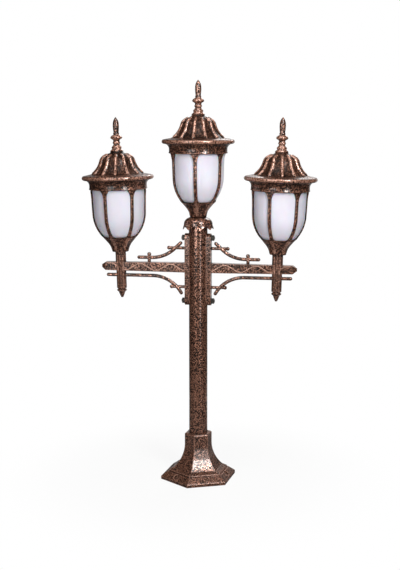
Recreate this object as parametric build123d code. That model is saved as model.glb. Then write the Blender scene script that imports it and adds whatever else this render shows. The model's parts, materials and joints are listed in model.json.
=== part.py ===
from build123d import *
from math import atan2, cos, degrees, hypot, radians, sin, sqrt, tan
import os

# Three-headed outdoor post light in millimetres.
# Origin at the middle of the foot, +Z up, the two arms along X, the front at -Y.

# Fits and clearances
RUNNING_GAP = 0.3       # round pieces that pass each other when a joint moves
FIT = 0.1               # spigots, pins and screws in their holes
THREAD_FIT = 0.05       # screwed pieces on their threads

# Post tube
POST_RADIUS = 25.0
POST_WALL = 2.0
WIRE_BORE = 5.0

# Base casting: six flared sides, given by half widths across flats and heights
BASE_TURN = -7.2        # direction of one flat side from +X
BASE_SIDES = 6
FOOT_HALF_WIDTH = 91.5
RIM_HEIGHT = 8.0
RIM_CHAMFER = 2.0
BEVEL_HALF_WIDTH = 75.5
BEVEL_HEIGHT = 20.5
MOULDING_HALF_WIDTH = 71.5
MOULDING_HEIGHT = 24.5
FASCIA_HALF_WIDTH = 61.0
FASCIA_HEIGHT = 30.5
FLARE_HALF_WIDTH = 58.5
FLARE_FOOT = 32.0
NECK_HALF_WIDTH = 33.0
NECK_FOOT = 97.0
NECK_CHAMFER = 2.5
BASE_HEIGHT = 127.0
BASE_WALL = 5.0
POST_SEAT = 60.0
SEAT_SHOULDER = 8.0
CABLE_HOLE = 18.0

# Anchor holes on alternate sides of the foot
ANCHOR_COUNT = 3
ANCHOR_CIRCLE = 82.0
ANCHOR_HOLE = 4.5
ANCHOR_BOSS = 11.0
ANCHOR_SPOT = 8.5
ANCHOR_SEAT = 11.0
ANCHOR_SIDE = 4         # number of the first side with a hole, counted from BASE_TURN

# Grub screws that hold the post in the neck, on the two rear sides
GRUB_RADIUS = 4.0
GRUB_SOCKET = 2.2
GRUB_SOCKET_DEPTH = 4.0
GRUB_DROP = 15.0        # below the neck's top
GRUB_HEIGHT = BASE_HEIGHT - GRUB_DROP
GRUB_SIDES = (1, 2)

# Terminal block under the post seat
TERMINAL_SIZE = (13.0, 30.0, 14.0)
TERMINAL_OFFSET = 28.0
TERMINAL_WAYS = 3
TERMINAL_HOLE = 2.0

# Post cap and leaf collar under the middle lantern
CAP_FLANGE = 4.0
CAP_SPIGOT = 20.0
CAP_WALL = 4.0
COLLAR_SHOULDER = 12.0  # outer rounding from the flat top to the petals
COLLAR_FLAT = 27.0      # radius where the rounding starts
COLLAR_WALL = 4.0
COLLAR_HOLE = 14.0      # wide of the nipple, under the middle cup
PETAL_COUNT = 8
PETAL_TURN = 15.7
PETAL_RADIUS = 40.3     # at the tips
PETAL_THICKNESS = 3.0
PETAL_DROP = 34.0       # tips below the collar's top
PETAL_NOTCH = 10.0      # height of the arches between the petals

# Bracket arms, measured outwards from the post axis and from the bar's middle height
ARM_HEIGHT = 585.3
PLATE_FACE = 35.5
PLATE_WIDTH = 24.0
UPPER_BOLT_RISE = 81.0
LOWER_BOLT_DROP = 90.4
PLATE_BELOW_PETALS = 9.7
PLATE_TOP = ARM_HEIGHT + UPPER_BOLT_RISE + PLATE_WIDTH / 2
POST_TOP = PLATE_TOP + PLATE_BELOW_PETALS + PETAL_DROP - COLLAR_WALL - CAP_FLANGE
STUD_RADIUS = 4.0
STUD_TAIL = 1.5
NUT_ACROSS = 13.0
NUT_HEIGHT = 6.5
WASHER_RADIUS = 8.0
WASHER_THICKNESS = 1.6
HEX_SIDES = 6           # of nuts, bolt heads and key sockets

BAR_DEPTH = 20.0
BAR_ROOT_HEIGHT = 26.0
BAR_END_HEIGHT = 22.4
BAR_TIP_START = 254.5
BAR_TIP_END = 265.9
BAR_TIP_HEIGHT = 7.6
BAR_TIP_DEPTH = 5.2
TENON_HEIGHT = 20.0
TENON_DEPTH = 16.0
TENON_LENGTH = 7.5
ZIGZAG_START = 38.0
ZIGZAG_PITCH = 41.7
ZIGZAG_FLAT = 12.0      # level stretch between two strokes
ZIGZAG_STROKES = 5
ZIGZAG_RISE = 8.6
ZIGZAG_WIDTH = 2.2
ZIGZAG_PROUD = 0.9

STEM_REACH = 213.2
STEM_LEAN = 1.52        # the stems and their lanterns lean outwards, in degrees
STEM_RISE = 40.1
STEM_DROP = 60.3
STEM_REEDS = 8
STEM_UPPER_RADIUS = 14.5
STEM_LOWER_RADIUS = 13.6
REED_RADIUS = 4.6
PENDANT_NECK = (10.4, 2.6)      # radius and depth below the stem, as in the lines below
PENDANT_RING = (13.3, 5.7)
PENDANT_RING_HALF = 1.3
PENDANT_BELL = (9.3, 10.1)
PENDANT_TIP = (4.5, 22.4)
PENDANT_POINT = (2.7, 26.0)
PENDANT_SPIGOT = 5.0
PENDANT_SPIGOT_LENGTH = 9.0

SCROLL_RADIUS = 4.75
SCROLL_BEND = 90.0
UPPER_SCROLL_INNER = (48.0, 65.9)
UPPER_SCROLL_KNEE = 92.2
UPPER_SCROLL_RISE = 25.0
UPPER_SCROLL_OUTER = 163.0
LOWER_SCROLL_DROP = 24.5
LOWER_SCROLL_TOP = 125.0
LOWER_SCROLL_SWEEP = 60.5
LOWER_SCROLL_OUTER = 249.0
LINK_RADIUS = 4.2
LINK_BALL = 5.2
LINK_SOCKET = 6.0
UPPER_LINK_RISE = 52.6
UPPER_LINK_END = 80.0
LOWER_LINK_DROP = 53.1
LOWER_LINK_END = 73.0
PEG_REACH = 134.7
PEG_RADIUS = 4.4
PEG_BALL = 5.4
PEG_BALL_RISE = 34.0
PEG_SPIGOT = 3.0
PEG_SPIGOT_LENGTH = 6.0

# Lantern cage: a bell of six ribs, heights from the underside of its cup
SIDE_CAGE_TURN = 13.3
MIDDLE_CAGE_TURN = 32.8
RIB_COUNT = 6
RIB_HALF_WIDTH = 4.6
CAGE_WALL = 3.5
CUP_RADIUS = 22.0
CUP_FLOOR = 4.0
CUP_BORE = 21.0
CUP_LEDGE = 28.0
CUP_FILLET = 45.0
CUP_FOOT_LEAN = 14.0    # lean of the cup's outside from upright at its foot
CUP_LEAN = 40.0         # the same where the cup meets the bell
BELL_LEAN = 2.0         # lean of the wall at the top of the bell's curve
BELL_CURVE = 100.0
BELL_RADIUS = 71.6
BELL_HEIGHT = 103.5
RING_FLARE = 150.0
RING_FOOT = 165.0
RING_RADIUS = 74.8
RING_TOP = 186.0
WINDOW_BOTTOM = 42.0
WINDOW_HEEL = 11.0      # rounding of the window's lower corners
WINDOW_LOW_LEAN = 33.0  # lean of the wall where the window's side turns into its heel
WINDOW_TOP = 169.0
WINDOW_CORNER = 11.0

# Opal diffuser inside the cage
DIFFUSER_GAP = 0.3
DIFFUSER_WALL = 2.5
DIFFUSER_TOP = 172.0

# Roof casting: skirt, brim and ribbed dome
SKIRT_GAP = 0.5
SKIRT_WALL = 2.2
SKIRT_BOTTOM = 169.5
SKIRT_LIP = 0.9
SKIRT_LIP_HEIGHT = 3.0
COVE_FOOT = 181.0
BRIM_RADIUS = 97.0
BRIM_BOTTOM = 194.5
BRIM_TOP = 206.2
BRIM_ROUND = 5.0
BRIM_INNER = 76.0
BRIM_CROWN = 2.6
DOME_CROWN = (25.3, 239.6)      # centre of the upper rounding, as radius and height
DOME_CROWN_CURVE = 24.0
DOME_CROWN_LEAN = 60.0  # lean of the straight slope above the rounding
DOME_HOLLOW_CURVE = 60.0
DOME_TURN = 15.0        # lean of the dome's wall where its curve reverses
DOME_FOOT_TURN = 53.6
DOME_WALL = 5.5
CROWN_BOSS = 17.6
ROOF_TOP = 271.0
ROOF_SEAT_BORE = 66.0
RIDGE_COUNT = 12
RIDGE_RADIUS = 4.5
RIDGE_RISE = 4.0
RIDGE_TOP = 30.0
RIDGE_FOOT_TURN = 50.0
SIDE_ROOF_TURN = 7.8
MIDDLE_ROOF_TURN = 27.3
GASKET_THICKNESS = 2.0
GASKET_INSET = 0.8

# Finial that screws on to the roof bolt: radii, and heights above the roof's top
FINIAL_FOOT = (17.2, 1.6)
FINIAL_WAIST = (12.2, 6.0)
FINIAL_BEAD = (13.4, 9.4)
FINIAL_BEAD_HALF = 1.6
FINIAL_NECK = (8.0, 17.6)
FINIAL_KNOT = (10.3, 21.8)
FINIAL_KNOT_HALF = 1.5
FINIAL_THROAT = (8.4, 28.4)
FINIAL_DISC = (16.2, 35.2)
FINIAL_DISC_EDGE = (14.2, 32.4)
FINIAL_DISC_TOP = (7.4, 43.4)
FINIAL_COLLAR = (8.3, 46.4)
FINIAL_SPEAR_FOOT = (6.9, 49.4)
FINIAL_SPEAR = (8.4, 67.0)
FINIAL_SHOULDER = (6.7, 79.4)
FINIAL_TIP = 89.8
FINIAL_BORE_DEPTH = 16.0

# Roof bolt, bridge and their fasteners
ROOF_BOLT_RADIUS = 3.0
ROOF_BOLT_REACH = 12.0  # above the roof's top, inside the finial
ROOF_BOLT_ACROSS = 10.0
ROOF_BOLT_HEAD = 4.0
ROOF_BOLT_NUT = 5.0
ROOF_HOLE_GAP = 0.4
BRIDGE_WIDTH = 14.0
BRIDGE_THICKNESS = 3.0
BRIDGE_TOP = 184.0
BRIDGE_SCREW_RADIUS = 2.0
BRIDGE_SCREW_HEAD = 3.8
BRIDGE_SCREW_HEIGHT = 178.0
BRIDGE_SCREW_LENGTH = 13.0

# Lampholder, bulb and the hollow nipple that carries the wires
NIPPLE_RADIUS = 5.0
NIPPLE_BORE = 3.5
NIPPLE_ABOVE = 14.0
NIPPLE_BELOW_SIDE = 34.0
NIPPLE_BELOW_MIDDLE = 16.0
NIPPLE_NUT_ACROSS = 17.0
NIPPLE_NUT_HEIGHT = 5.0
HOLDER_FOOT_RADIUS = 17.0
HOLDER_FOOT_TOP = 24.0
HOLDER_RADIUS = 20.0
HOLDER_TOP = 62.0
HOLDER_FLOOR = 32.0
BULB_CAP_RADIUS = 13.0
BULB_CONTACT_RADIUS = 5.0
BULB_CONTACT_HEIGHT = 2.5
BULB_CAP_TOP = 64.0
BULB_RADIUS = 27.5
BULB_NECK = 13.4
BULB_NECK_TOP = 98.0
BULB_TOP = 146.0


# Helpers
def polar(radius, angle):
    return (radius * cos(radians(angle)), radius * sin(radians(angle)))


def upright_face(*lines):
    """Joins lines drawn as radius and height into a face that stands on the XZ plane."""
    return Plane.XZ * make_face([edge for line in lines for edge in line.edges()])


def turned(*lines):
    return revolve(upright_face(*lines), Axis.Z)


def post(radius, low, high):
    """Upright cylinder between two heights."""
    return Pos(0, 0, low) * Cylinder(radius, high - low, align=(Align.CENTER, Align.CENTER, Align.MIN))


def lying(radius, start, end):
    """Cylinder along X between two places."""
    return Pos(start, 0, 0) * Rot(0, 90, 0) * post(radius, 0, end - start)


def hexagon(across, low, high):
    outline = RegularPolygon(across / 2, HEX_SIDES, major_radius=False)
    return Pos(0, 0, low) * extrude(outline, high - low)


def around(piece, count, first=0.0):
    """Copies of a piece spaced evenly about Z."""
    return [Rot(0, 0, first + 360 / count * k) * piece for k in range(count)]


def rod_along(path, radius):
    """Round rod along a path on the XZ plane, with ball ends."""
    ends = [Pos(*(path @ place)) * Sphere(radius) for place in (0, 1)]
    return sweep((path ^ 0) * Circle(radius), path=path) + ends


def half_space(front):
    """Block that fills everything in front of the middle plane, or everything behind it."""
    reach = 2 * BAR_TIP_END
    return Pos(0, -reach / 2 if front else reach / 2, 0) * Box(2 * reach, reach, 2 * reach)


# Base casting
def flare_arc(inset, low):
    """Hollow curve of the base's sides from the neck's foot down to a height."""
    width = FLARE_HALF_WIDTH - NECK_HALF_WIDTH
    height = NECK_FOOT - FLARE_FOOT
    curve = (width ** 2 + height ** 2) / (2 * width)
    drop = degrees(atan2(NECK_FOOT - low, sqrt((curve + inset) ** 2 - (NECK_FOOT - low) ** 2)))
    return CenterArc((NECK_HALF_WIDTH + curve, NECK_FOOT), curve + inset, 180 + drop, -drop)


def arc_cut(inset, low, high):
    """The same curve between two heights, both below the neck's foot."""
    whole = flare_arc(inset, low)
    top = flare_arc(inset, high)
    middle = flare_arc(inset, (low + high) / 2)
    return ThreePointArc(whole @ 0, middle @ 0, top @ 0)


def six_sided(*half_outline):
    """Solid with six equal sides that all follow one outline of half width against height."""
    edges = [edge for line in half_outline for edge in line.edges()]
    outline = edges + [edge.mirror(Plane.YZ) for edge in edges]
    slab = extrude(Plane.XZ * make_face(outline), 2 * FOOT_HALF_WIDTH, both=True)
    turns = [Rot(0, 0, BASE_TURN + 360 / BASE_SIDES * k) * slab for k in range(BASE_SIDES // 2)]
    return turns[0] & turns[1] & turns[2]


def side_direction(side):
    return BASE_TURN + 360 / BASE_SIDES * side


def anchor_places():
    turns = [side_direction(ANCHOR_SIDE) + 360 / ANCHOR_COUNT * k for k in range(ANCHOR_COUNT)]
    return [Rot(0, 0, turn) * Pos(ANCHOR_CIRCLE, 0, 0) for turn in turns]


def make_base():
    flare = flare_arc(0, FLARE_FOOT)
    foot = Polyline(
        (0, 0), (FOOT_HALF_WIDTH, 0), (FOOT_HALF_WIDTH, RIM_HEIGHT),
        (FOOT_HALF_WIDTH - RIM_CHAMFER, RIM_HEIGHT + RIM_CHAMFER),
        (BEVEL_HALF_WIDTH, BEVEL_HEIGHT), (MOULDING_HALF_WIDTH, BEVEL_HEIGHT),
        (MOULDING_HALF_WIDTH, MOULDING_HEIGHT), (FASCIA_HALF_WIDTH, FASCIA_HEIGHT),
        (FLARE_HALF_WIDTH, FASCIA_HEIGHT), flare @ 0)
    neck = Polyline(
        flare @ 1, (NECK_HALF_WIDTH, BASE_HEIGHT - NECK_CHAMFER),
        (NECK_HALF_WIDTH - NECK_CHAMFER, BASE_HEIGHT), (0, BASE_HEIGHT))
    ceiling = POST_SEAT - SEAT_SHOULDER
    inner_flare = arc_cut(BASE_WALL, FASCIA_HEIGHT - BASE_WALL, ceiling)
    hollow = six_sided(
        Polyline(
            (0, 0), (FOOT_HALF_WIDTH - BASE_WALL, 0),
            (FOOT_HALF_WIDTH - BASE_WALL, RIM_HEIGHT - BASE_WALL / 2),
            (BEVEL_HALF_WIDTH - BASE_WALL, BEVEL_HEIGHT - BASE_WALL), inner_flare @ 0),
        inner_flare,
        Line(inner_flare @ 1, (0, ceiling)))
    bosses = [place * post(ANCHOR_BOSS, 0, BEVEL_HEIGHT) for place in anchor_places()]
    holes = [place * post(ANCHOR_HOLE, 0, BEVEL_HEIGHT) for place in anchor_places()]
    spots = [place * post(ANCHOR_SPOT, ANCHOR_SEAT, FASCIA_HEIGHT) for place in anchor_places()]
    socket = post(POST_RADIUS + FIT, POST_SEAT, BASE_HEIGHT)
    cable_way = post(CABLE_HOLE, 0, POST_SEAT)
    grub_holes = [place * lying(GRUB_RADIUS + THREAD_FIT, 0, NECK_HALF_WIDTH) for place in grub_places()]
    casting = six_sided(foot, flare, neck) - (hollow - bosses)
    return casting - holes - spots - socket - cable_way - grub_holes


# Post, its fasteners and what closes its top
def grub_places():
    return [Rot(0, 0, side_direction(side)) * Pos(0, 0, GRUB_HEIGHT) for side in GRUB_SIDES]


def make_grub_screws():
    screw = lying(GRUB_RADIUS, POST_RADIUS + FIT, NECK_HALF_WIDTH)
    socket = Rot(0, 90, 0) * hexagon(2 * GRUB_SOCKET, NECK_HALF_WIDTH - GRUB_SOCKET_DEPTH, NECK_HALF_WIDTH)
    return [place * (screw - socket) for place in grub_places()]


def bolt_heights():
    return (ARM_HEIGHT + UPPER_BOLT_RISE, ARM_HEIGHT - LOWER_BOLT_DROP)


def make_post():
    tube = post(POST_RADIUS, POST_SEAT, POST_TOP) - post(POST_RADIUS - POST_WALL, POST_SEAT, POST_TOP)
    bolt_holes = [Pos(0, 0, z) * lying(STUD_RADIUS + FIT, -PLATE_FACE, PLATE_FACE) for z in bolt_heights()]
    wire_hole = Pos(0, 0, ARM_HEIGHT) * lying(WIRE_BORE, -PLATE_FACE, PLATE_FACE)
    return tube - bolt_holes - wire_hole


def make_terminal_block():
    length, width, height = TERMINAL_SIZE
    ceiling = POST_SEAT - SEAT_SHOULDER
    block = Box(length, width, height, align=(Align.CENTER, Align.CENTER, Align.MAX))
    pitch = width / TERMINAL_WAYS
    ways = [(k - (TERMINAL_WAYS - 1) / 2) * pitch for k in range(TERMINAL_WAYS)]
    wire_holes = [Pos(0, y, -height / 2) * lying(TERMINAL_HOLE, -length, length) for y in ways]
    screw_holes = [Pos(0, y, 0) * post(TERMINAL_HOLE, -height, -height / 2) for y in ways]
    place = Rot(0, 0, side_direction(GRUB_SIDES[0])) * Pos(TERMINAL_OFFSET, 0, ceiling)
    return place * (block - wire_holes - screw_holes)


def make_post_cap():
    spigot = POST_RADIUS - POST_WALL - FIT
    cap = post(POST_RADIUS, POST_TOP, POST_TOP + CAP_FLANGE) + post(spigot, POST_TOP - CAP_SPIGOT, POST_TOP)
    inside = post(spigot - CAP_WALL, POST_TOP - CAP_SPIGOT, POST_TOP)
    return cap - inside - post(NIPPLE_RADIUS + FIT, POST_TOP, POST_TOP + CAP_FLANGE)


def make_leaf_collar():
    seat = POST_TOP + CAP_FLANGE
    top = seat + COLLAR_WALL
    tip = top - PETAL_DROP
    centre = (COLLAR_FLAT, top - COLLAR_SHOULDER)
    outer = CenterArc(centre, COLLAR_SHOULDER, 90, -90)
    inner = CenterArc(centre, COLLAR_SHOULDER - COLLAR_WALL, 0, 90)
    shell = turned(
        Polyline((COLLAR_HOLE, seat), (COLLAR_HOLE, top), outer @ 0), outer,
        Polyline(outer @ 1, (PETAL_RADIUS, tip), (PETAL_RADIUS - PETAL_THICKNESS, tip), inner @ 0), inner,
        Line(inner @ 1, (COLLAR_HOLE, seat)))
    half_chord = PETAL_RADIUS * sin(radians(180 / PETAL_COUNT))
    arch = (half_chord ** 2 + PETAL_NOTCH ** 2) / (2 * PETAL_NOTCH)
    notch = Pos(0, 0, tip + PETAL_NOTCH - arch) * lying(arch, POST_RADIUS, 2 * PETAL_RADIUS)
    return shell - around(notch, PETAL_COUNT, PETAL_TURN + 180 / PETAL_COUNT)


# Bracket arms: every piece is drawn for the right side, with the bar's middle at height zero
def make_saddle_plate():
    middle = (UPPER_BOLT_RISE - LOWER_BOLT_DROP) / 2
    length = UPPER_BOLT_RISE + LOWER_BOLT_DROP + PLATE_WIDTH
    outline = Pos(0, 0, middle) * Rot(0, 90, 0) * SlotOverall(length, PLATE_WIDTH)
    plate = extrude(outline, PLATE_FACE, dir=(1, 0, 0)) - Cylinder(POST_RADIUS + FIT, 2 * length)
    plate = plate & Pos(POST_RADIUS, 0, 0) * Box(2 * POST_RADIUS, 2 * POST_RADIUS, 2 * length)
    bolt_holes = [Pos(0, 0, z) * lying(STUD_RADIUS + FIT, 0, PLATE_FACE)
                  for z in (UPPER_BOLT_RISE, -LOWER_BOLT_DROP)]
    link_holes = [Pos(0, 0, z) * lying(LINK_RADIUS + FIT, PLATE_FACE - LINK_SOCKET, PLATE_FACE)
                  for z in (UPPER_LINK_RISE, -LOWER_LINK_DROP)]
    return plate - bolt_holes - link_holes - bar_tenon(FIT) - lying(WIRE_BORE, 0, PLATE_FACE)


def bar_tenon(spare):
    tenon = Box(TENON_LENGTH + spare, TENON_DEPTH + 2 * spare, TENON_HEIGHT + 2 * spare,
                align=(Align.MAX, Align.CENTER, Align.CENTER))
    return Pos(PLATE_FACE, 0, 0) * tenon


def bar_blank(spare):
    """Tapered bar with a four-sided point, grown by spare on every side."""
    sections = (
        (PLATE_FACE, BAR_ROOT_HEIGHT, BAR_DEPTH),
        (BAR_TIP_START, BAR_END_HEIGHT, BAR_DEPTH),
        (BAR_TIP_END, BAR_TIP_HEIGHT, BAR_TIP_DEPTH))
    faces = [Pos(x, 0, 0) * Rot(0, 90, 0) * Rectangle(height + 2 * spare, depth + 2 * spare)
             for x, height, depth in sections]
    return loft(faces, ruled=True)


def zigzag_ribs():
    """Raised zigzag line along the front and back of the bar, clear of the stem."""
    ribs = []
    run = ZIGZAG_PITCH - ZIGZAG_FLAT
    for side in (-1, 1):
        for k in range(ZIGZAG_STROKES):
            rise = ZIGZAG_RISE if k % 2 == 0 else -ZIGZAG_RISE
            length = hypot(run, 2 * rise) + ZIGZAG_WIDTH
            start = ZIGZAG_START + k * ZIGZAG_PITCH
            slope = degrees(atan2(2 * rise, run))
            stroke = Rot(0, -slope, 0) * Box(length, 2 * ZIGZAG_PROUD, ZIGZAG_WIDTH)
            level = Box(ZIGZAG_FLAT + ZIGZAG_WIDTH, 2 * ZIGZAG_PROUD, ZIGZAG_WIDTH)
            ribs.append(Pos(start + run / 2, side * BAR_DEPTH / 2, 0) * stroke)
            ribs.append(Pos(start + run + ZIGZAG_FLAT / 2, side * BAR_DEPTH / 2, rise) * level)
    limits = Pos(PLATE_FACE, 0, 0) * Box(
        BAR_TIP_START - PLATE_FACE, 2 * BAR_DEPTH, 2 * BAR_DEPTH,
        align=(Align.MIN, Align.CENTER, Align.CENTER))
    sleeve = stem_place() * post(STEM_UPPER_RADIUS + FIT, -2 * BAR_DEPTH, 2 * BAR_DEPTH)
    return [(rib & limits) - sleeve for rib in ribs]


def make_arm_bar():
    bore = lying(WIRE_BORE, 0, STEM_REACH + WIRE_BORE)
    nipple_hole = stem_place() * post(NIPPLE_RADIUS + THREAD_FIT, 0, BAR_ROOT_HEIGHT)
    peg_hole = Pos(PEG_REACH, 0, 0) * post(PEG_SPIGOT + FIT, peg_foot() - PEG_SPIGOT_LENGTH, BAR_ROOT_HEIGHT)
    bar = bar_blank(0) + bar_tenon(0) + zigzag_ribs()
    return bar - bore - nipple_hole - peg_hole


def stem_place():
    return Pos(STEM_REACH, 0, 0) * Rot(0, STEM_LEAN, 0)


def reeded(radius, low, high):
    reeds = [Pos(*polar(radius - REED_RADIUS, 360 / STEM_REEDS * k)) * Circle(REED_RADIUS)
             for k in range(STEM_REEDS)]
    return Pos(0, 0, low) * extrude(Circle(radius - REED_RADIUS / 2) + reeds, high - low)


def make_stem():
    stem = reeded(STEM_UPPER_RADIUS, 0, STEM_RISE) + reeded(STEM_LOWER_RADIUS, -STEM_DROP, 0)
    stem -= post(NIPPLE_RADIUS + FIT, 0, STEM_RISE)
    stem -= post(PENDANT_SPIGOT + FIT, -STEM_DROP, PENDANT_SPIGOT_LENGTH - STEM_DROP)
    scroll_hole = Pos(0, 0, -LOWER_SCROLL_DROP) * lying(SCROLL_RADIUS + FIT, 0, LOWER_SCROLL_OUTER)
    return stem_place() * stem - bar_blank(FIT) - scroll_hole


def make_pendant():
    ring, ring_depth = PENDANT_RING
    outline = [
        (0, -PENDANT_SPIGOT_LENGTH), (PENDANT_SPIGOT, -PENDANT_SPIGOT_LENGTH), (PENDANT_SPIGOT, 0),
        (PENDANT_NECK[0], 0), PENDANT_NECK, (ring, ring_depth - PENDANT_RING_HALF),
        (ring, ring_depth + PENDANT_RING_HALF), PENDANT_BELL, PENDANT_TIP, PENDANT_POINT,
        (0, PENDANT_POINT[1])]
    pendant = turned(Polyline(*[(radius, -depth) for radius, depth in outline], close=True))
    return stem_place() * Pos(0, 0, -STEM_DROP) * pendant


def upper_scroll_rod(spare):
    path = Plane.XZ * FilletPolyline(
        UPPER_SCROLL_INNER, (UPPER_SCROLL_KNEE, UPPER_SCROLL_RISE),
        (UPPER_SCROLL_OUTER, UPPER_SCROLL_RISE), radius=SCROLL_BEND)
    return rod_along(path, SCROLL_RADIUS + spare)


def lower_scroll_rod(spare):
    centre = (LOWER_SCROLL_TOP, -LOWER_SCROLL_DROP - SCROLL_BEND)
    bend = CenterArc(centre, SCROLL_BEND, 90 + LOWER_SCROLL_SWEEP, -LOWER_SCROLL_SWEEP)
    run = Line(bend @ 1, (LOWER_SCROLL_OUTER, -LOWER_SCROLL_DROP))
    return rod_along(Plane.XZ * Wire([bend.edge(), run.edge()]), SCROLL_RADIUS + spare)


def link_rod(height, end, spare):
    rod = lying(LINK_RADIUS + spare, PLATE_FACE - LINK_SOCKET, end)
    return Pos(0, 0, height) * (rod + Pos(end, 0, 0) * Sphere(LINK_BALL + spare))


def peg_foot():
    """Height of the bar's top where the peg stands."""
    along = (PEG_REACH - PLATE_FACE) / (BAR_TIP_START - PLATE_FACE)
    return (BAR_ROOT_HEIGHT + along * (BAR_END_HEIGHT - BAR_ROOT_HEIGHT)) / 2


def peg_rod(spare):
    peg = post(PEG_RADIUS + spare, 0, PEG_BALL_RISE) + Pos(0, 0, PEG_BALL_RISE) * Sphere(PEG_BALL + spare)
    spigot = post(PEG_SPIGOT, peg_foot() - PEG_SPIGOT_LENGTH + FIT, PEG_BALL_RISE)
    return Pos(PEG_REACH, 0, 0) * peg - bar_blank(0) + Pos(PEG_REACH, 0, 0) * spigot


def make_upper_scroll():
    behind = half_space(False)
    crossed = [link_rod(UPPER_LINK_RISE, UPPER_LINK_END, FIT), peg_rod(FIT)]
    return upper_scroll_rod(0) - [rod & behind for rod in crossed]


def make_lower_scroll():
    return lower_scroll_rod(0) - (link_rod(-LOWER_LINK_DROP, LOWER_LINK_END, FIT) & half_space(False))


def make_upper_link():
    return link_rod(UPPER_LINK_RISE, UPPER_LINK_END, 0) - (upper_scroll_rod(FIT) & half_space(True))


def make_lower_link():
    return link_rod(-LOWER_LINK_DROP, LOWER_LINK_END, 0) - (lower_scroll_rod(FIT) & half_space(True))


def make_peg():
    return peg_rod(0) - (upper_scroll_rod(FIT) & half_space(True))


# Studs that clamp both arms on to the post
def make_studs():
    reach = PLATE_FACE + WASHER_THICKNESS + NUT_HEIGHT + STUD_TAIL
    return [Pos(0, 0, z) * lying(STUD_RADIUS, -reach, reach) for z in bolt_heights()]


def on_plates(ring):
    """Copies of a ring drawn on Z, laid on the outer face of each plate at each stud."""
    return [Pos(0, 0, z) * Rot(0, side, 0) * Pos(0, 0, PLATE_FACE) * ring
            for z in bolt_heights() for side in (-90, 90)]


def make_stud_washers():
    return on_plates(post(WASHER_RADIUS, 0, WASHER_THICKNESS)
                     - post(STUD_RADIUS + FIT, 0, WASHER_THICKNESS))


def make_stud_nuts():
    top = WASHER_THICKNESS + NUT_HEIGHT
    return on_plates(hexagon(NUT_ACROSS, WASHER_THICKNESS, top)
                     - post(STUD_RADIUS + THREAD_FIT, WASHER_THICKNESS, top))


# Lantern: every piece is drawn with the underside of the cage's cup at height zero
def bell_point(lean, inset):
    """Point of the bell's curve where the wall leans so far from upright, inset from the outside."""
    start = radians(BELL_LEAN)
    centre_radius = BELL_RADIUS - BELL_CURVE * cos(start)
    centre_height = BELL_HEIGHT + BELL_CURVE * sin(start)
    reach = BELL_CURVE - inset
    return (centre_radius + reach * cos(radians(lean)), centre_height - reach * sin(radians(lean)))


def cup_point(inset, height):
    """Point of the straight slope below the bell's curve."""
    radius, low = bell_point(CUP_LEAN, inset)
    return (radius - (low - height) * tan(radians(CUP_LEAN)), height)


def top_point(inset, height):
    """Point of the straight wall above the bell's curve."""
    radius, high = bell_point(BELL_LEAN, inset)
    return (radius + (height - high) * tan(radians(BELL_LEAN)), height)


def bell_curve(inset):
    leans = (CUP_LEAN, (CUP_LEAN + BELL_LEAN) / 2, BELL_LEAN)
    return ThreePointArc(*[bell_point(lean, inset) for lean in leans])


def bell_wall(inset, bottom, top):
    curve = bell_curve(inset)
    return [Line(cup_point(inset, bottom), curve @ 0), curve, Line(curve @ 1, top_point(inset, top))]


def window_half_width(radius):
    """Half the window between two ribs, measured square to its middle."""
    half = radians(180 / RIB_COUNT)
    return sin(half) * sqrt(radius ** 2 - RIB_HALF_WIDTH ** 2) - cos(half) * RIB_HALF_WIDTH


def window_side(point):
    radius, height = point
    return (window_half_width(radius), height)


def make_window():
    """Cutter for one arched window, pointing along X."""
    low = window_side(bell_point(WINDOW_LOW_LEAN, 0))
    middle = window_side(bell_point((WINDOW_LOW_LEAN + BELL_LEAN) / 2, 0))
    high = window_side(bell_point(BELL_LEAN, 0))
    wide = window_side(top_point(0, WINDOW_TOP))
    side = ThreePointArc(low, middle, high)
    shoulder = FilletPolyline(high, wide, (0, WINDOW_TOP), radius=WINDOW_CORNER)
    corner = window_side(cup_point(0, WINDOW_BOTTOM))
    heel = FilletPolyline((0, WINDOW_BOTTOM), corner, low, radius=WINDOW_HEEL)
    right = heel.edges() + side.edges() + shoulder.edges()
    outline = right + [edge.mirror(Plane.YZ) for edge in right]
    return extrude(Plane.YZ * make_face(outline), 2 * RING_RADIUS)


def make_cage():
    waist = (CUP_RADIUS - cup_point(0, 0)[0]) / (tan(radians(CUP_LEAN)) - tan(radians(CUP_FOOT_LEAN)))
    outer = bell_curve(0)
    cup = FilletPolyline((CUP_RADIUS, 0), cup_point(0, waist), outer @ 0, radius=CUP_FILLET)
    rim = Polyline(
        outer @ 1, top_point(0, RING_FLARE), (RING_RADIUS, RING_FOOT), (RING_RADIUS, RING_TOP),
        top_point(CAGE_WALL, RING_TOP))
    hole = NIPPLE_RADIUS + FIT
    floor = Polyline(
        cup_point(CAGE_WALL, CUP_LEDGE), (CUP_BORE, CUP_LEDGE), (CUP_BORE, CUP_FLOOR), (hole, CUP_FLOOR),
        (hole, 0), (CUP_RADIUS, 0))
    bell = turned(cup, outer, rim, floor, *bell_wall(CAGE_WALL, CUP_LEDGE, RING_TOP))
    windows = around(make_window(), RIB_COUNT, 180 / RIB_COUNT)
    return bell - windows - bridge_screw_pair(FIT)


def make_diffuser():
    outside = CAGE_WALL + DIFFUSER_GAP
    inside = outside + DIFFUSER_WALL
    return turned(
        *bell_wall(outside, CUP_LEDGE, DIFFUSER_TOP), *bell_wall(inside, CUP_LEDGE, DIFFUSER_TOP),
        Line(cup_point(outside, CUP_LEDGE), cup_point(inside, CUP_LEDGE)),
        Line(top_point(outside, DIFFUSER_TOP), top_point(inside, DIFFUSER_TOP)))


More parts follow.
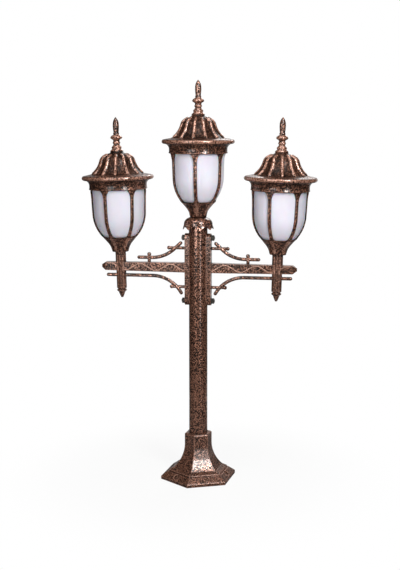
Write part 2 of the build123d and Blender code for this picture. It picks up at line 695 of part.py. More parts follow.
def dome_centre():
    """Centre of the dome's hollow lower curve, which meets the crown's curve smoothly."""
    reach = DOME_CROWN_CURVE + DOME_HOLLOW_CURVE
    step = polar(reach, DOME_TURN)
    return (DOME_CROWN[0] + step[0], DOME_CROWN[1] + step[1])


def dome_curve(inset, top_radius, foot_turn):
    """Slope, crown and hollow of the dome's wall, from the top down, inset from the ridges' crests."""
    crown = CenterArc(DOME_CROWN, DOME_CROWN_CURVE - inset, DOME_CROWN_LEAN, DOME_TURN - DOME_CROWN_LEAN)
    hollow = CenterArc(dome_centre(), DOME_HOLLOW_CURVE + inset, 180 + DOME_TURN, foot_turn - DOME_TURN)
    start = crown @ 0
    rise = (start.X - top_radius) / tan(radians(DOME_CROWN_LEAN))
    slope = Line((top_radius, start.Y + rise), start)
    return Wire([slope.edge(), crown.edge(), hollow.edge()])


def make_roof():
    inner_skirt = RING_RADIUS + SKIRT_GAP
    outer_skirt = inner_skirt + SKIRT_WALL
    seat = RING_TOP + GASKET_THICKNESS
    hole = ROOF_BOLT_RADIUS + ROOF_HOLE_GAP
    brim_edge = BRIM_RADIUS - BRIM_ROUND
    lip = outer_skirt + SKIRT_LIP
    lip_top = SKIRT_BOTTOM + SKIRT_LIP_HEIGHT
    skirt = Polyline(
        (inner_skirt, SKIRT_BOTTOM), (lip, SKIRT_BOTTOM), (lip, lip_top),
        (outer_skirt, lip_top + SKIRT_LIP), (outer_skirt, COVE_FOOT))
    cove_foot = (outer_skirt, COVE_FOOT)
    cove_side = (brim_edge - outer_skirt) * (1 - cos(radians(45)))
    cove_rise = (BRIM_BOTTOM - COVE_FOOT) * sin(radians(45))
    cove_middle = (outer_skirt + cove_side, COVE_FOOT + cove_rise)
    cove = ThreePointArc(cove_foot, cove_middle, (brim_edge, BRIM_BOTTOM))
    brim = ThreePointArc(
        (brim_edge, BRIM_BOTTOM), (BRIM_RADIUS, (BRIM_BOTTOM + BRIM_TOP) / 2), (brim_edge, BRIM_TOP))
    valley = dome_curve(RIDGE_RISE, CROWN_BOSS, DOME_FOOT_TURN)
    cavity = dome_curve(RIDGE_RISE + DOME_WALL, CROWN_BOSS, DOME_FOOT_TURN)
    top = Polyline(
        valley @ 0, (CROWN_BOSS, ROOF_TOP), (hole, ROOF_TOP),
        (hole, (cavity @ 0).Y), cavity @ 0)
    inside = Polyline(
        cavity @ 1, (ROOF_SEAT_BORE, seat), (inner_skirt, seat), (inner_skirt, SKIRT_BOTTOM))
    brim_top = Polyline(brim @ 1, (BRIM_INNER, BRIM_TOP + BRIM_CROWN), valley @ 1)
    roof = turned(skirt, cove, brim, brim_top, valley, top, cavity, inside)
    ridge = rod_along(Plane.XZ * dome_curve(RIDGE_RADIUS, RIDGE_TOP, RIDGE_FOOT_TURN), RIDGE_RADIUS)
    return roof + around(ridge, RIDGE_COUNT)


def make_finial():
    bead, bead_height = FINIAL_BEAD
    knot, knot_height = FINIAL_KNOT
    foot = Polyline(
        (0, FINIAL_TIP), (0, 0), (FINIAL_FOOT[0], 0), FINIAL_FOOT, FINIAL_WAIST,
        (bead, bead_height - FINIAL_BEAD_HALF), (bead, bead_height + FINIAL_BEAD_HALF), FINIAL_NECK,
        (knot, knot_height - FINIAL_KNOT_HALF), (knot, knot_height + FINIAL_KNOT_HALF), FINIAL_THROAT,
        FINIAL_DISC_EDGE, FINIAL_DISC, FINIAL_DISC_TOP, FINIAL_COLLAR, FINIAL_SPEAR_FOOT)
    blade = ThreePointArc(FINIAL_SPEAR_FOOT, FINIAL_SPEAR, FINIAL_SHOULDER)
    point = Line(FINIAL_SHOULDER, (0, FINIAL_TIP))
    bore = post(ROOF_BOLT_RADIUS + THREAD_FIT, 0, FINIAL_BORE_DEPTH)
    return Pos(0, 0, ROOF_TOP) * (turned(foot, blade, point) - bore)


def make_gasket():
    inner = max(top_point(CAGE_WALL, RING_TOP)[0], ROOF_SEAT_BORE) + GASKET_INSET
    top = RING_TOP + GASKET_THICKNESS
    return post(RING_RADIUS - GASKET_INSET, RING_TOP, top) - post(inner, RING_TOP, top)


def make_bridge():
    """Strap across the cage's ring; its two tabs are screwed to the ring and keep the diffuser down."""
    reach = top_point(CAGE_WALL, DIFFUSER_TOP)[0] - FIT
    low = DIFFUSER_TOP + DIFFUSER_GAP
    strap = Pos(0, 0, low) * Box(
        2 * RING_RADIUS, BRIDGE_WIDTH, BRIDGE_TOP - low, align=(Align.CENTER, Align.CENTER, Align.MIN))
    under = Pos(0, 0, low) * Box(
        2 * (reach - BRIDGE_THICKNESS), BRIDGE_WIDTH, BRIDGE_TOP - BRIDGE_THICKNESS - low,
        align=(Align.CENTER, Align.CENTER, Align.MIN))
    strap = (strap & post(reach, low, BRIDGE_TOP)) - under
    return strap - post(ROOF_BOLT_RADIUS + FIT, low, BRIDGE_TOP) - bridge_screw_pair(THREAD_FIT)


def bridge_screw_pair(spare):
    """Countersunk screws through the ring into the bridge's tabs, grown by spare."""
    head = BRIDGE_SCREW_HEAD + spare
    shank = BRIDGE_SCREW_RADIUS + spare
    outer = RING_RADIUS - FIT + spare
    sink = BRIDGE_SCREW_HEAD - BRIDGE_SCREW_RADIUS
    tip = RING_RADIUS - BRIDGE_SCREW_LENGTH
    screw = turned(
        Polyline((0, tip), (shank, tip), (shank, outer - sink), (head, outer), (0, outer), (0, tip)))
    return [Pos(0, 0, BRIDGE_SCREW_HEIGHT) * Rot(0, side, 0) * screw for side in (-90, 90)]


def make_roof_bolt():
    under = BRIDGE_TOP - BRIDGE_THICKNESS
    head = hexagon(ROOF_BOLT_ACROSS, under - ROOF_BOLT_HEAD, under)
    return head + post(ROOF_BOLT_RADIUS, under, ROOF_TOP + ROOF_BOLT_REACH)


def make_bridge_nut():
    top = BRIDGE_TOP + ROOF_BOLT_NUT
    return hexagon(ROOF_BOLT_ACROSS, BRIDGE_TOP, top) - post(ROOF_BOLT_RADIUS + THREAD_FIT, BRIDGE_TOP, top)


def make_nipple(below):
    return post(NIPPLE_RADIUS, -below, NIPPLE_ABOVE) - post(NIPPLE_BORE, -below, NIPPLE_ABOVE)


def make_nipple_nut(low):
    top = low + NIPPLE_NUT_HEIGHT
    return hexagon(NIPPLE_NUT_ACROSS, low, top) - post(NIPPLE_RADIUS + THREAD_FIT, low, top)


def make_lampholder():
    low = CUP_FLOOR + NIPPLE_NUT_HEIGHT
    body = post(HOLDER_FOOT_RADIUS, low, HOLDER_FOOT_TOP) + post(HOLDER_RADIUS, HOLDER_FOOT_TOP, HOLDER_TOP)
    body -= post(NIPPLE_RADIUS + THREAD_FIT, low, HOLDER_FOOT_TOP)
    return body - post(BULB_CAP_RADIUS + RUNNING_GAP, HOLDER_FLOOR, HOLDER_TOP)


def make_bulb_cap():
    neck = HOLDER_FLOOR + BULB_CONTACT_HEIGHT
    return post(BULB_CONTACT_RADIUS, HOLDER_FLOOR, neck) + post(BULB_CAP_RADIUS, neck, BULB_CAP_TOP)


def make_bulb_glass():
    centre = BULB_TOP - BULB_RADIUS
    join = (sqrt(BULB_RADIUS ** 2 - (centre - BULB_NECK_TOP) ** 2), BULB_NECK_TOP)
    neck = Polyline((0, BULB_TOP), (0, BULB_CAP_TOP), (BULB_NECK, BULB_CAP_TOP), join)
    globe = ThreePointArc(join, (BULB_RADIUS, centre), (0, BULB_TOP))
    return turned(neck, globe)


# Assembly
parts = {}


def add(node, *pieces):
    """Files one node: a single solid, or a group of like solids."""
    parts[node] = pieces[0] if len(pieces) == 1 else Compound(children=list(pieces))


add("base_casting", make_base())
add("post_tube", make_post())
add("post_grub_screws", *make_grub_screws())
add("terminal_block", make_terminal_block())
add("post_cap", make_post_cap())
add("leaf_collar", make_leaf_collar())
add("clamp_studs", *make_studs())
add("clamp_washers", *make_stud_washers())
add("clamp_nuts", *make_stud_nuts())

arm_makers = {
    "saddle_plate": make_saddle_plate, "arm_bar": make_arm_bar, "arm_stem": make_stem,
    "stem_pendant": make_pendant, "upper_scroll": make_upper_scroll, "lower_scroll": make_lower_scroll,
    "upper_link": make_upper_link, "lower_link": make_lower_link, "scroll_peg": make_peg}
for piece_name, maker in arm_makers.items():
    right_piece = Pos(0, 0, ARM_HEIGHT) * maker()
    add("right_" + piece_name, right_piece)
    add("left_" + piece_name, right_piece.mirror(Plane.YZ))

middle_seat = Pos(0, 0, POST_TOP + CAP_FLANGE + COLLAR_WALL)
right_seat = Pos(0, 0, ARM_HEIGHT) * stem_place() * Pos(0, 0, STEM_RISE)
left_seat = Pos(-STEM_REACH, 0, ARM_HEIGHT) * Rot(0, -STEM_LEAN, 0) * Pos(0, 0, STEM_RISE)
seats = {
    "middle": (middle_seat, MIDDLE_CAGE_TURN, MIDDLE_ROOF_TURN),
    "left": (left_seat, SIDE_CAGE_TURN, SIDE_ROOF_TURN),
    "right": (right_seat, SIDE_CAGE_TURN, SIDE_ROOF_TURN)}

# Pieces of one lantern: those that follow the cage's turn, those that follow the roof's, and round ones
cage_pieces = {"cage": make_cage(), "diffuser": make_diffuser(), "lampholder": make_lampholder()}
roof_pieces = {"roof": make_roof(), "finial": make_finial()}
bulb_pieces = {"bulb_cap": make_bulb_cap(), "bulb_glass": make_bulb_glass()}
for lantern, (seat, cage_turn, roof_turn) in seats.items():
    for piece_name, piece in cage_pieces.items():
        add(lantern + "_" + piece_name, seat * Rot(0, 0, cage_turn) * piece)
    for piece_name, piece in roof_pieces.items():
        add(lantern + "_" + piece_name, seat * Rot(0, 0, roof_turn) * piece)
    for piece_name, piece in bulb_pieces.items():
        add(lantern + "_" + piece_name, seat * piece)

# Small pieces that every lantern has, filed as groups
cage_places = [seat * Rot(0, 0, cage_turn) for seat, cage_turn, roof_turn in seats.values()]
add("roof_bridges", *[place * make_bridge() for place in cage_places])
add("bridge_screws", *[place * screw for place in cage_places for screw in bridge_screw_pair(0)])
add("roof_bolts", *[place * make_roof_bolt() for place in cage_places])
add("bridge_nuts", *[place * make_bridge_nut() for place in cage_places])
add("roof_gaskets", *[place * make_gasket() for place in cage_places])
add("wire_nipples", middle_seat * make_nipple(NIPPLE_BELOW_MIDDLE),
    left_seat * make_nipple(NIPPLE_BELOW_SIDE), right_seat * make_nipple(NIPPLE_BELOW_SIDE))
under_cap = -(COLLAR_WALL + CAP_FLANGE + NIPPLE_NUT_HEIGHT)
add("nipple_nuts", *[place * make_nipple_nut(CUP_FLOOR) for place in cage_places],
    middle_seat * make_nipple_nut(under_cap))

os.makedirs("parts", exist_ok=True)
for node, piece in parts.items():
    export_step(piece, os.path.join("parts", node + ".step"))
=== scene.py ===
import json
from math import asin, atan2, cos, hypot, pi, radians, sin, sqrt, tan

import bmesh
import bpy
from mathutils import Matrix, Vector


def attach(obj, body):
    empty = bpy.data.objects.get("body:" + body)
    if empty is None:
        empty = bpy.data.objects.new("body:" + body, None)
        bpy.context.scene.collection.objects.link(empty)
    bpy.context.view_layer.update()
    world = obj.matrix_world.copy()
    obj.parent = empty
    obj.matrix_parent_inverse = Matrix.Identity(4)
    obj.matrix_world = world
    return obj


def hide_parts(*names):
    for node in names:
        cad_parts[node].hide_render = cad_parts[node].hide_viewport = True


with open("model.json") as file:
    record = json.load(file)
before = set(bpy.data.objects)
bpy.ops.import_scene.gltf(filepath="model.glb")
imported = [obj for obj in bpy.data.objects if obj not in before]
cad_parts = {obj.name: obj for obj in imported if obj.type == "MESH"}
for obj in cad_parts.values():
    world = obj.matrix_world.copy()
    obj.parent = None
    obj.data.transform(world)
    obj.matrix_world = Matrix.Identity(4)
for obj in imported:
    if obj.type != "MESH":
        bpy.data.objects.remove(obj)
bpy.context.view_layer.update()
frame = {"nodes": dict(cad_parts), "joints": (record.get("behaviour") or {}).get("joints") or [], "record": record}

# Units: pieces are drawn in millimetres and placed in metres
MM = 0.001
WELD_REACH = 1e-6       # in metres, within which two points of a piece become one

# Lanterns: turns of the castings about the lantern's axis, in degrees
LANTERNS = ("middle", "left", "right")
CAGE_TURN = {"middle": 32.8, "left": 13.3, "right": 13.3}
ROOF_TURN = {"middle": 27.3, "left": 7.8, "right": 7.8}

# Roof casting: radii, heights above the underside of the cage's cup, and turns in degrees
SKIRT_INNER = 75.3
SKIRT_OUTER = 77.5
SKIRT_BOTTOM = 169.5
SKIRT_LIP = 0.9         # how far the lip at the skirt's foot stands out
LIP_ROUND = 0.5
LIP_SIDE_TOP = 172.1
LIP_TOP = 173.4
COVE_FOOT = 181.0
BRIM_EDGE = 92.0
BRIM_RADIUS = 96.95
BRIM_BOTTOM = 194.5
BRIM_TOP = 206.2
BRIM_SLOPE = 5.0        # width of the first slope inside the edge
BRIM_SLOPE_RISE = 0.9
BRIM_LEVEL = 3.0        # width of the level ring round the dome
BRIM_INNER = 76.0
BRIM_CROWN = 2.6
CROWN_CENTRE = (25.3, 239.6)
CROWN_CURVE = 24.0
CROWN_LEAN = 60.0
HOLLOW_CURVE = 60.0
DOME_TURN = 15.0
DOME_FOOT_TURN = 53.6
ROOF_BOSS = 17.6
ROOF_TOP = 271.0
ROOF_HOLE = 3.4
ROOF_SEAT = 188.0
ROOF_SEAT_BORE = 66.0
ROOF_WALL = 5.5
RIDGE_COUNT = 12
RIDGE_RADIUS = 4.5
RIDGE_RISE = 4.0
RIDGE_TOP = 30.0
RIDGE_FOOT_TURN = 50.0

# Finial: radii, and heights above the roof's top, from the foot to the tip
FINIAL_BORE = 3.1
FINIAL_BORE_DEPTH = 16.0
FINIAL_OUTLINE = [
    (FINIAL_BORE, 0.0), (17.2, 0.0), (17.2, 1.4), (14.2, 3.6), (12.2, 6.0), (13.3, 7.9), (13.6, 9.4),
    (13.2, 10.9), (10.2, 13.8), (8.0, 17.6), (9.8, 20.2), (10.3, 21.8), (9.8, 23.4), (8.5, 25.6),
    (8.6, 28.6), (10.8, 30.8), (14.2, 32.4), (16.2, 35.0), (14.6, 38.6), (11.0, 41.6), (7.4, 43.4),
    (8.1, 45.4), (8.1, 47.2), (6.9, 49.4), (7.8, 57.0), (8.4, 66.0), (8.0, 74.0), (6.7, 79.8),
    (4.2, 85.0), (0.9, 89.4), (0.0, 89.8)]
FINIAL_BEAD = 8.8       # radius beyond which the turned beads are rubbed

# Cage: radii and heights above the underside of its cup, and leans in degrees
RIB_COUNT = 6
RIB_HALF_WIDTH = 4.6
RIB_ROUND = 1.3         # rounding of the window's edges
RIB_LIP = 0.7           # height of the bead beside them
RIB_LIP_WIDTH = 2.6
CAGE_WALL = 3.5
CUP_RADIUS = 22.0
CUP_EDGE = 0.6          # bevel of the cup's foot
CUP_BORE = 21.0
CUP_LEDGE = 28.0
CUP_FLOOR = 4.0
CUP_HOLE = 5.1
CUP_FOOT_LEAN = 14.0
CUP_LEAN = 40.0
CUP_FILLET = 45.0
CUP_FLUTE = 1.3
BELL_LEAN = 2.0
BELL_CURVE = 100.0
BELL_RADIUS = 71.6
BELL_HEIGHT = 103.5
RING_FLARE = 150.0
RING_FOOT = 165.0
RING_RADIUS = 74.8
RING_TOP = 186.0
WINDOW_BOTTOM = 42.0
WINDOW_HEEL = 11.0
WINDOW_LOW_LEAN = 33.0
WINDOW_TOP = 169.0
WINDOW_CORNER = 10.0
CORNER_DROP = 22.0
WINDOW_STEP = 0.02      # from the closed wall up to the first row of the window
SILL_HEIGHT = 3.0       # of the closed wall that a rib's shell has below the window
CUP_TOP = WINDOW_BOTTOM - 2.0   # inside the closed wall
RIB_TOP = WINDOW_TOP + 2.0      # inside the ring

# Diffuser
DIFFUSER_INSET = 3.8
DIFFUSER_WALL = 2.5
DIFFUSER_TOP = 172.0

# Leaf collar: radii and heights of the row frame
COLLAR_TOP = 722.0
COLLAR_HOLE = 14.0
COLLAR_NECK = 17.0      # radius where the rounded shoulder begins
COLLAR_RADIUS = 38.5
SHOULDER_DROP = 19.0
PETAL_ROOT = COLLAR_TOP - SHOULDER_DROP
COLLAR_WALL = 4.0
PETAL_COUNT = 8
PETAL_TURN = 15.7
PETAL_RADIUS = 40.3
PETAL_THICKNESS = 3.0
PETAL_DROP = 32.5
PETAL_NOTCH = 11.0
PETAL_FULLNESS = 1.15   # 1 makes plain teeth, more makes rounder petals
PETAL_CURL = 1.2
CURL_AT_NOTCH = 0.3     # share of the curl that the notches have
CURL_POWER = 4          # the curl and the taper grow with this power of the way down
PETAL_CREASE = 0.9      # depth of the folds between petals
CREASE_START = 0.5      # share of the way down where the folds have their depth
PETAL_TAPER = 1.2       # taken off the thickness towards the tip

# Steps of the meshes
ROUND_STEPS = 96
FINIAL_STEPS = 48
RIDGE_STEPS = 20        # from one ridge to the next
PETAL_STEPS = 20        # from one petal to the next
PETAL_ROWS = 18
SHOULDER_STEPS = 14
HOLLOW_STEPS = 33
CROWN_STEPS = 18
CROWN_SLOPE_STEPS = 14
CAVITY_STRIDE = 3       # rows of the dome for each row of the cavity
COVE_STEPS = 10
BRIM_STEPS = 12
SILL_STEPS = 2
HEEL_STEPS = 12
HEEL_SLOPE_STEPS = 4
WINDOW_STEPS = 36
CORNER_STEPS = 10
CUP_STEPS = 8
DIFFUSER_STEPS = 60
FLUTE_FIRST_ROW = 3
FLUTE_START_ROWS = 5    # over which the flutes deepen from the foot
FLUTE_END_ROWS = 4
RIB_SHARES = (0.2, 0.5, 0.72, 0.84, 0.92, 0.97, 1.0)    # of half a rib, where its columns are

# Wear of the castings, from 0 where the coat is whole to 1 where the copper is rubbed most
PLAIN_WEAR = 0.5
INSIDE_WEAR = 0.1
EDGE_GROUND_WEAR = 0.18
BRIM_WEAR = 0.75
BRIM_WORN_REACH = 3.0   # beyond the brim's edge
LIP_WEAR = 0.55
LIP_WORN_REACH = 0.6    # inwards from the lip
RIDGE_WEAR = 0.76
RIDGE_WEAR_RISE = 2.2   # slope of the wear up a ridge's side, until it is that of the ridge
FINIAL_WEAR = 0.45
BEAD_WEAR = 0.75
RIB_WEAR = 0.2
RIB_LIP_WEAR = 0.4      # added on the bead beside a window
CUP_FOOT_WEAR = 0.3
FLUTE_WEAR = 0.15
FLUTE_CREST_WEAR = 0.75     # added on the crests between flutes
SHOULDER_WEAR = 0.35
PETAL_WEAR = 0.25
PETAL_TIP_WEAR = 0.65   # added towards the tips

# Shader nodes
GRAIN_NOISE = 0.6       # roughness of the noise, where a finish has none of its own


def set_input(tree, socket, value):
    if isinstance(value, bpy.types.NodeSocket):
        tree.links.new(value, socket)
    else:
        socket.default_value = value


def shader_node(tree, kind, inputs=None, **properties):
    made = tree.nodes.new("ShaderNode" + kind)
    for key, value in properties.items():
        setattr(made, key, value)
    for key, value in (inputs or {}).items():
        set_input(tree, made.inputs[key], value)
    return made


def maths(tree, operation, *values, clamp=False):
    inputs = dict(enumerate(values))
    return shader_node(tree, "Math", inputs, operation=operation, use_clamp=clamp).outputs[0]


def product(tree, first, second):
    return maths(tree, "MULTIPLY", first, second)


def flipped(tree, value):
    return maths(tree, "SUBTRACT", 1.0, value)


def at_least(tree, value, least):
    """Value from 0 to 1, drawn up so that its 0 becomes a least share."""
    return maths(tree, "MULTIPLY_ADD", value, 1.0 - least, least)


def lessened(tree, value, other, share, clamp=False):
    """Value less a share of another one."""
    return maths(tree, "SUBTRACT", value, product(tree, other, share), clamp=clamp)


def stretched(tree, value, low, high, result_low=0.0, result_high=1.0):
    """Smooth step from one result at low to another at high."""
    inputs = {
        "Value": value, "From Min": low, "From Max": high, "To Min": result_low, "To Max": result_high}
    return shader_node(tree, "MapRange", inputs, interpolation_type="SMOOTHSTEP").outputs["Result"]


def mixed(tree, share, first, second):
    """Mix of two colours. The Mix node has its colours at inputs 6 and 7 and their mix at output 2."""
    made = shader_node(tree, "Mix", {0: share, 6: first, 7: second}, data_type="RGBA")
    return made.outputs[2]


def object_place(tree):
    return shader_node(tree, "TexCoord").outputs["Object"]


def depth_of(tree, place):
    """The place's Y, from front to back."""
    return shader_node(tree, "SeparateXYZ", {"Vector": place}).outputs["Y"]


def grain(tree, size, detail, roughness=GRAIN_NOISE):
    """Noise whose grains are about one size across, in metres."""
    inputs = {"Vector": object_place(tree), "Scale": 1.0 / size, "Detail": detail, "Roughness": roughness}
    return shader_node(tree, "TexNoise", inputs).outputs["Fac"]


def bumped(tree, height, distance, strength, normal=None):
    inputs = {"Height": height, "Distance": distance, "Strength": strength}
    if normal is not None:
        inputs["Normal"] = normal
    return shader_node(tree, "Bump", inputs).outputs["Normal"]


def cleared_tree(owner):
    owner.use_nodes = True
    owner.node_tree.nodes.clear()
    return owner.node_tree


def new_material(name):
    material = bpy.data.materials.new(name)
    tree = cleared_tree(material)
    output = shader_node(tree, "OutputMaterial")
    surface = shader_node(tree, "BsdfPrincipled")
    tree.links.new(surface.outputs["BSDF"], output.inputs["Surface"])
    return material, tree, surface


def set_surface(tree, surface, **values):
    for key, value in values.items():
        set_input(tree, surface.inputs[key.replace("_", " ")], value)


# Antique copper: a dark brown coat with copper rubbed on to the raised places, under clear lacquer
COAT_DARK = (0.008, 0.0035, 0.002, 1.0)
COAT_BROWN = (0.034, 0.014, 0.008, 1.0)
COPPER = (0.74, 0.315, 0.19, 1.0)
COPPER_PALE = (0.80, 0.52, 0.41, 1.0)
PALE_SHARE = 0.15       # of the pale copper everywhere
PALE_RUBBED = 0.45      # and added where it is rubbed
COAT_SPECULAR = 0.1
COPPER_METAL = 0.92
WORN_METAL = 0.60
COAT_ROUGHNESS = 0.50
COPPER_ROUGHNESS = 0.25
LACQUER_IOR = 1.9
LACQUER_ROUGHNESS = 0.20

# Grain of the copper: bands of the noise between which it fades in, and sizes in metres
COPPER_DETAIL = 3.0
SPECKLE_BAND = (0.49, 0.60)
FINE_BAND = (0.44, 0.56)
FINE_SIZE = 0.5         # grain of the rubbed places, as a share of the speckle's grain
FINE_SIZE_CAST = 0.95   # the same where a mesh gives the wear
LEAST_RUBBED = 0.15     # copper between the grains of the rubbed places
PATCH_BAND = (0.34, 0.66)
PATCH_SIZE = 0.045
LEAST_PATCH = 0.5       # share of the speckle between patches
LEAST_GLOSS = 0.5       # share of the lacquer between specks
PIT_BAND = (0.22, 0.5)
PIT_SPACING = 1.4       # as a share of the speckle's grain
PIT_SHARE = 0.47        # share of the cells that have a pit
PITS_RUBBED_OFF = 0.6
PITS_RUBBED_OFF_CAST = 0.3
LOST_IN_PITS = 0.85     # of the copper
LOST_IN_HOLLOWS_AND_SHADE = 0.8   # of the copper and the lacquer: the dark coat left in recesses, and painted shade under and between parts
COPPER_RELIEF = 0.0002
COPPER_BUMP = 0.12
LACQUER_BUMP = 0.06
FINE_RELIEF = 0.6       # heights of the fine grain and the pits beside the speckle's
PIT_RELIEF = 1.2

# Places of the copper: bands of wear or openness, and reaches in metres; openness to the outside gives the dark
# coat of recesses and painted shade under and between parts
RUBBED_BAND = (0.35, 0.95)
GROOVE_BAND = (0.0, 0.35)
LEAST_IN_GROOVES = 0.2
HOLLOW_AND_SHADE_BAND = (0.35, 0.90)
HOLLOW_AND_SHADE_REACH = 0.012
EDGE_LOW = 0.5
EDGE_HIGH = 0.96
EDGE_REACH = 0.0016
BASE_EDGE_REACH = 0.0034
EDGE_ROUNDING = 0.7     # share of the reach of an edge that looks rounded
OPENNESS_SAMPLES = 6
ROUNDING_SAMPLES = 4
ZIGZAG_BAND = (0.0102, 0.0107)      # from the middle of an arm bar, between its flat face and its zigzag


def pits(tree, size, share):
    """Round dark pits in some of the cells of a cell pattern."""
    cells = shader_node(tree, "TexVoronoi", {"Vector": object_place(tree), "Scale": 1.0 / size})
    chosen = shader_node(tree, "SeparateColor", {"Color": cells.outputs["Color"]}).outputs[0]
    near = flipped(tree, stretched(tree, cells.outputs["Distance"], *PIT_BAND))
    return product(tree, near, maths(tree, "LESS_THAN", chosen, share))


# Closed-in places within a reach of any part: the dark coat left in recesses, and painted shade under and between
# parts
def hollows_and_painted_shade(tree):
    around = shader_node(tree, "AmbientOcclusion", {"Distance": HOLLOW_AND_SHADE_REACH}, samples=OPENNESS_SAMPLES)
    return flipped(tree, stretched(tree, around.outputs["AO"], *HOLLOW_AND_SHADE_BAND))


def edges(tree, reach, low):
    """Outer edges, found by how open the piece is on its inside."""
    within = shader_node(
        tree, "AmbientOcclusion", {"Distance": reach}, samples=OPENNESS_SAMPLES,
        inside=True, only_local=True)
    return flipped(tree, stretched(tree, within.outputs["AO"], low, EDGE_HIGH))


def rubbed_copper(name, grain_size, share, edge_reach=EDGE_REACH, edge_low=EDGE_LOW,
                  worn_by_mesh=False, zigzag=False):
    """Coat with a share of copper specks, and copper rubbed on to edges or where the mesh gives wear; closed-in
    places lose copper and lacquer, as the dark coat stays in recesses and as painted shade under and between
    parts.
    """
    material, tree, surface = new_material(name)
    fine_size = grain_size * (FINE_SIZE_CAST if worn_by_mesh else FINE_SIZE)
    speckle = stretched(tree, grain(tree, grain_size, COPPER_DETAIL), *SPECKLE_BAND)
    fine = stretched(tree, grain(tree, fine_size, COPPER_DETAIL), *FINE_BAND)
    patch = stretched(tree, grain(tree, PATCH_SIZE, COPPER_DETAIL), *PATCH_BAND)
    dots = pits(tree, grain_size * PIT_SPACING, PIT_SHARE)
    # hollow: closed-in places, the real dark coat of recesses together with painted shade under and between parts
    hollow = hollows_and_painted_shade(tree)
    if worn_by_mesh:
        wear = shader_node(tree, "Attribute", attribute_name="wear").outputs["Fac"]
        rubbed = stretched(tree, wear, *RUBBED_BAND)
        out_of_grooves = at_least(tree, stretched(tree, wear, *GROOVE_BAND), LEAST_IN_GROOVES)
        speckle = product(tree, speckle, out_of_grooves)
        gloss = product(tree, at_least(tree, speckle, LEAST_GLOSS), out_of_grooves)
    else:
        rubbed = edges(tree, edge_reach, edge_low)
        gloss = at_least(tree, speckle, LEAST_GLOSS)
    if zigzag:
        lines = stretched(tree, maths(tree, "ABSOLUTE", depth_of(tree, object_place(tree))), *ZIGZAG_BAND)
        rubbed = maths(tree, "MAXIMUM", rubbed, lines)
        fine = maths(tree, "MAXIMUM", fine, lines)
    rubbed_off = product(tree, rubbed, PITS_RUBBED_OFF_CAST if worn_by_mesh else PITS_RUBBED_OFF)
    dots = product(tree, dots, flipped(tree, rubbed_off))

    ground = product(tree, speckle, product(tree, at_least(tree, patch, LEAST_PATCH), share))
    worn = product(tree, rubbed, at_least(tree, fine, LEAST_RUBBED))
    # Closed-in places lose copper and lacquer gloss: painted shade, beside the real dark coat of recesses
    copper = lessened(tree, maths(tree, "MAXIMUM", ground, worn), hollow, LOST_IN_HOLLOWS_AND_SHADE)
    copper = lessened(tree, copper, dots, LOST_IN_PITS, clamp=True)
    gloss = lessened(tree, gloss, hollow, LOST_IN_HOLLOWS_AND_SHADE)
    gloss = maths(tree, "SUBTRACT", gloss, dots, clamp=True)

    coat = mixed(tree, patch, COAT_DARK, COAT_BROWN)
    pale = maths(tree, "MULTIPLY_ADD", product(tree, rubbed, fine), PALE_RUBBED, PALE_SHARE)
    colour = mixed(tree, copper, coat, COPPER)
    colour = mixed(tree, product(tree, pale, copper), colour, COPPER_PALE)
    metal = maths(tree, "MULTIPLY_ADD", worn, WORN_METAL - COPPER_METAL, COPPER_METAL)
    rough = maths(tree, "MULTIPLY_ADD", copper, COPPER_ROUGHNESS - COAT_ROUGHNESS, COAT_ROUGHNESS)
    height = maths(tree, "MULTIPLY_ADD", fine, FINE_RELIEF, speckle)
    height = lessened(tree, height, dots, PIT_RELIEF)
    rounding = {"Radius": edge_reach * EDGE_ROUNDING}
    rounded = shader_node(tree, "Bevel", rounding, samples=ROUNDING_SAMPLES).outputs["Normal"]
    set_surface(
        tree, surface, Base_Color=colour, Specular_IOR_Level=COAT_SPECULAR,
        Metallic=product(tree, copper, metal), Roughness=rough,
        Coat_Weight=gloss, Coat_IOR=LACQUER_IOR, Coat_Roughness=LACQUER_ROUGHNESS,
        Normal=bumped(tree, height, COPPER_RELIEF, COPPER_BUMP, rounded),
        Coat_Normal=bumped(tree, height, COPPER_RELIEF, LACQUER_BUMP, rounded))
    return material


# Opal glass, plain metals, and moulded porcelain, plastic and rubber: sizes in metres
CLOUD_BAND = (0.3, 0.7)
OPAL_SHADE = (0.765, 0.735, 0.82, 1.0)
OPAL_LIGHT = (0.805, 0.775, 0.86, 1.0)
OPAL_CLOUD_SIZE = 0.05
OPAL_RIPPLE_SIZE = 0.004
OPAL_DETAIL = 2.0
OPAL_RELIEF = 0.0001
OPAL_BUMP = 0.2
OPAL_SPECULAR = 0.35
OPAL_ROUGHNESS = 0.28
OPAL_ROUGHER = 0.1      # added in its clouds
OPAL_DEPTH_SHARE = 0.25
OPAL_DEPTH = 0.004
SCUFF_BAND = (0.35, 0.65)
SCUFF_DETAIL = 6.0
SCUFF_NOISE = 0.7
SCUFF_ROUGHER = 0.18
SCUFF_RELIEF = 0.0002
SCUFF_BUMP = 0.4
MOULDED_DETAIL = 4.0
MOULDED_ROUGHER = 0.12
MOULDED_RELIEF = 0.0001
MOULDED_BUMP = 0.3


def opal_glass(name):
    """White glass with faint clouds and ripples, which lets light in a little way."""
    material, tree, surface = new_material(name)
    cloud = stretched(tree, grain(tree, OPAL_CLOUD_SIZE, OPAL_DETAIL), *CLOUD_BAND)
    ripple = grain(tree, OPAL_RIPPLE_SIZE, OPAL_DETAIL)
    set_surface(
        tree, surface, Base_Color=mixed(tree, cloud, OPAL_SHADE, OPAL_LIGHT),
        Specular_IOR_Level=OPAL_SPECULAR,
        Roughness=maths(tree, "MULTIPLY_ADD", cloud, OPAL_ROUGHER, OPAL_ROUGHNESS),
        Subsurface_Weight=OPAL_DEPTH_SHARE, Subsurface_Scale=OPAL_DEPTH,
        Normal=bumped(tree, ripple, OPAL_RELIEF, OPAL_BUMP))
    return material


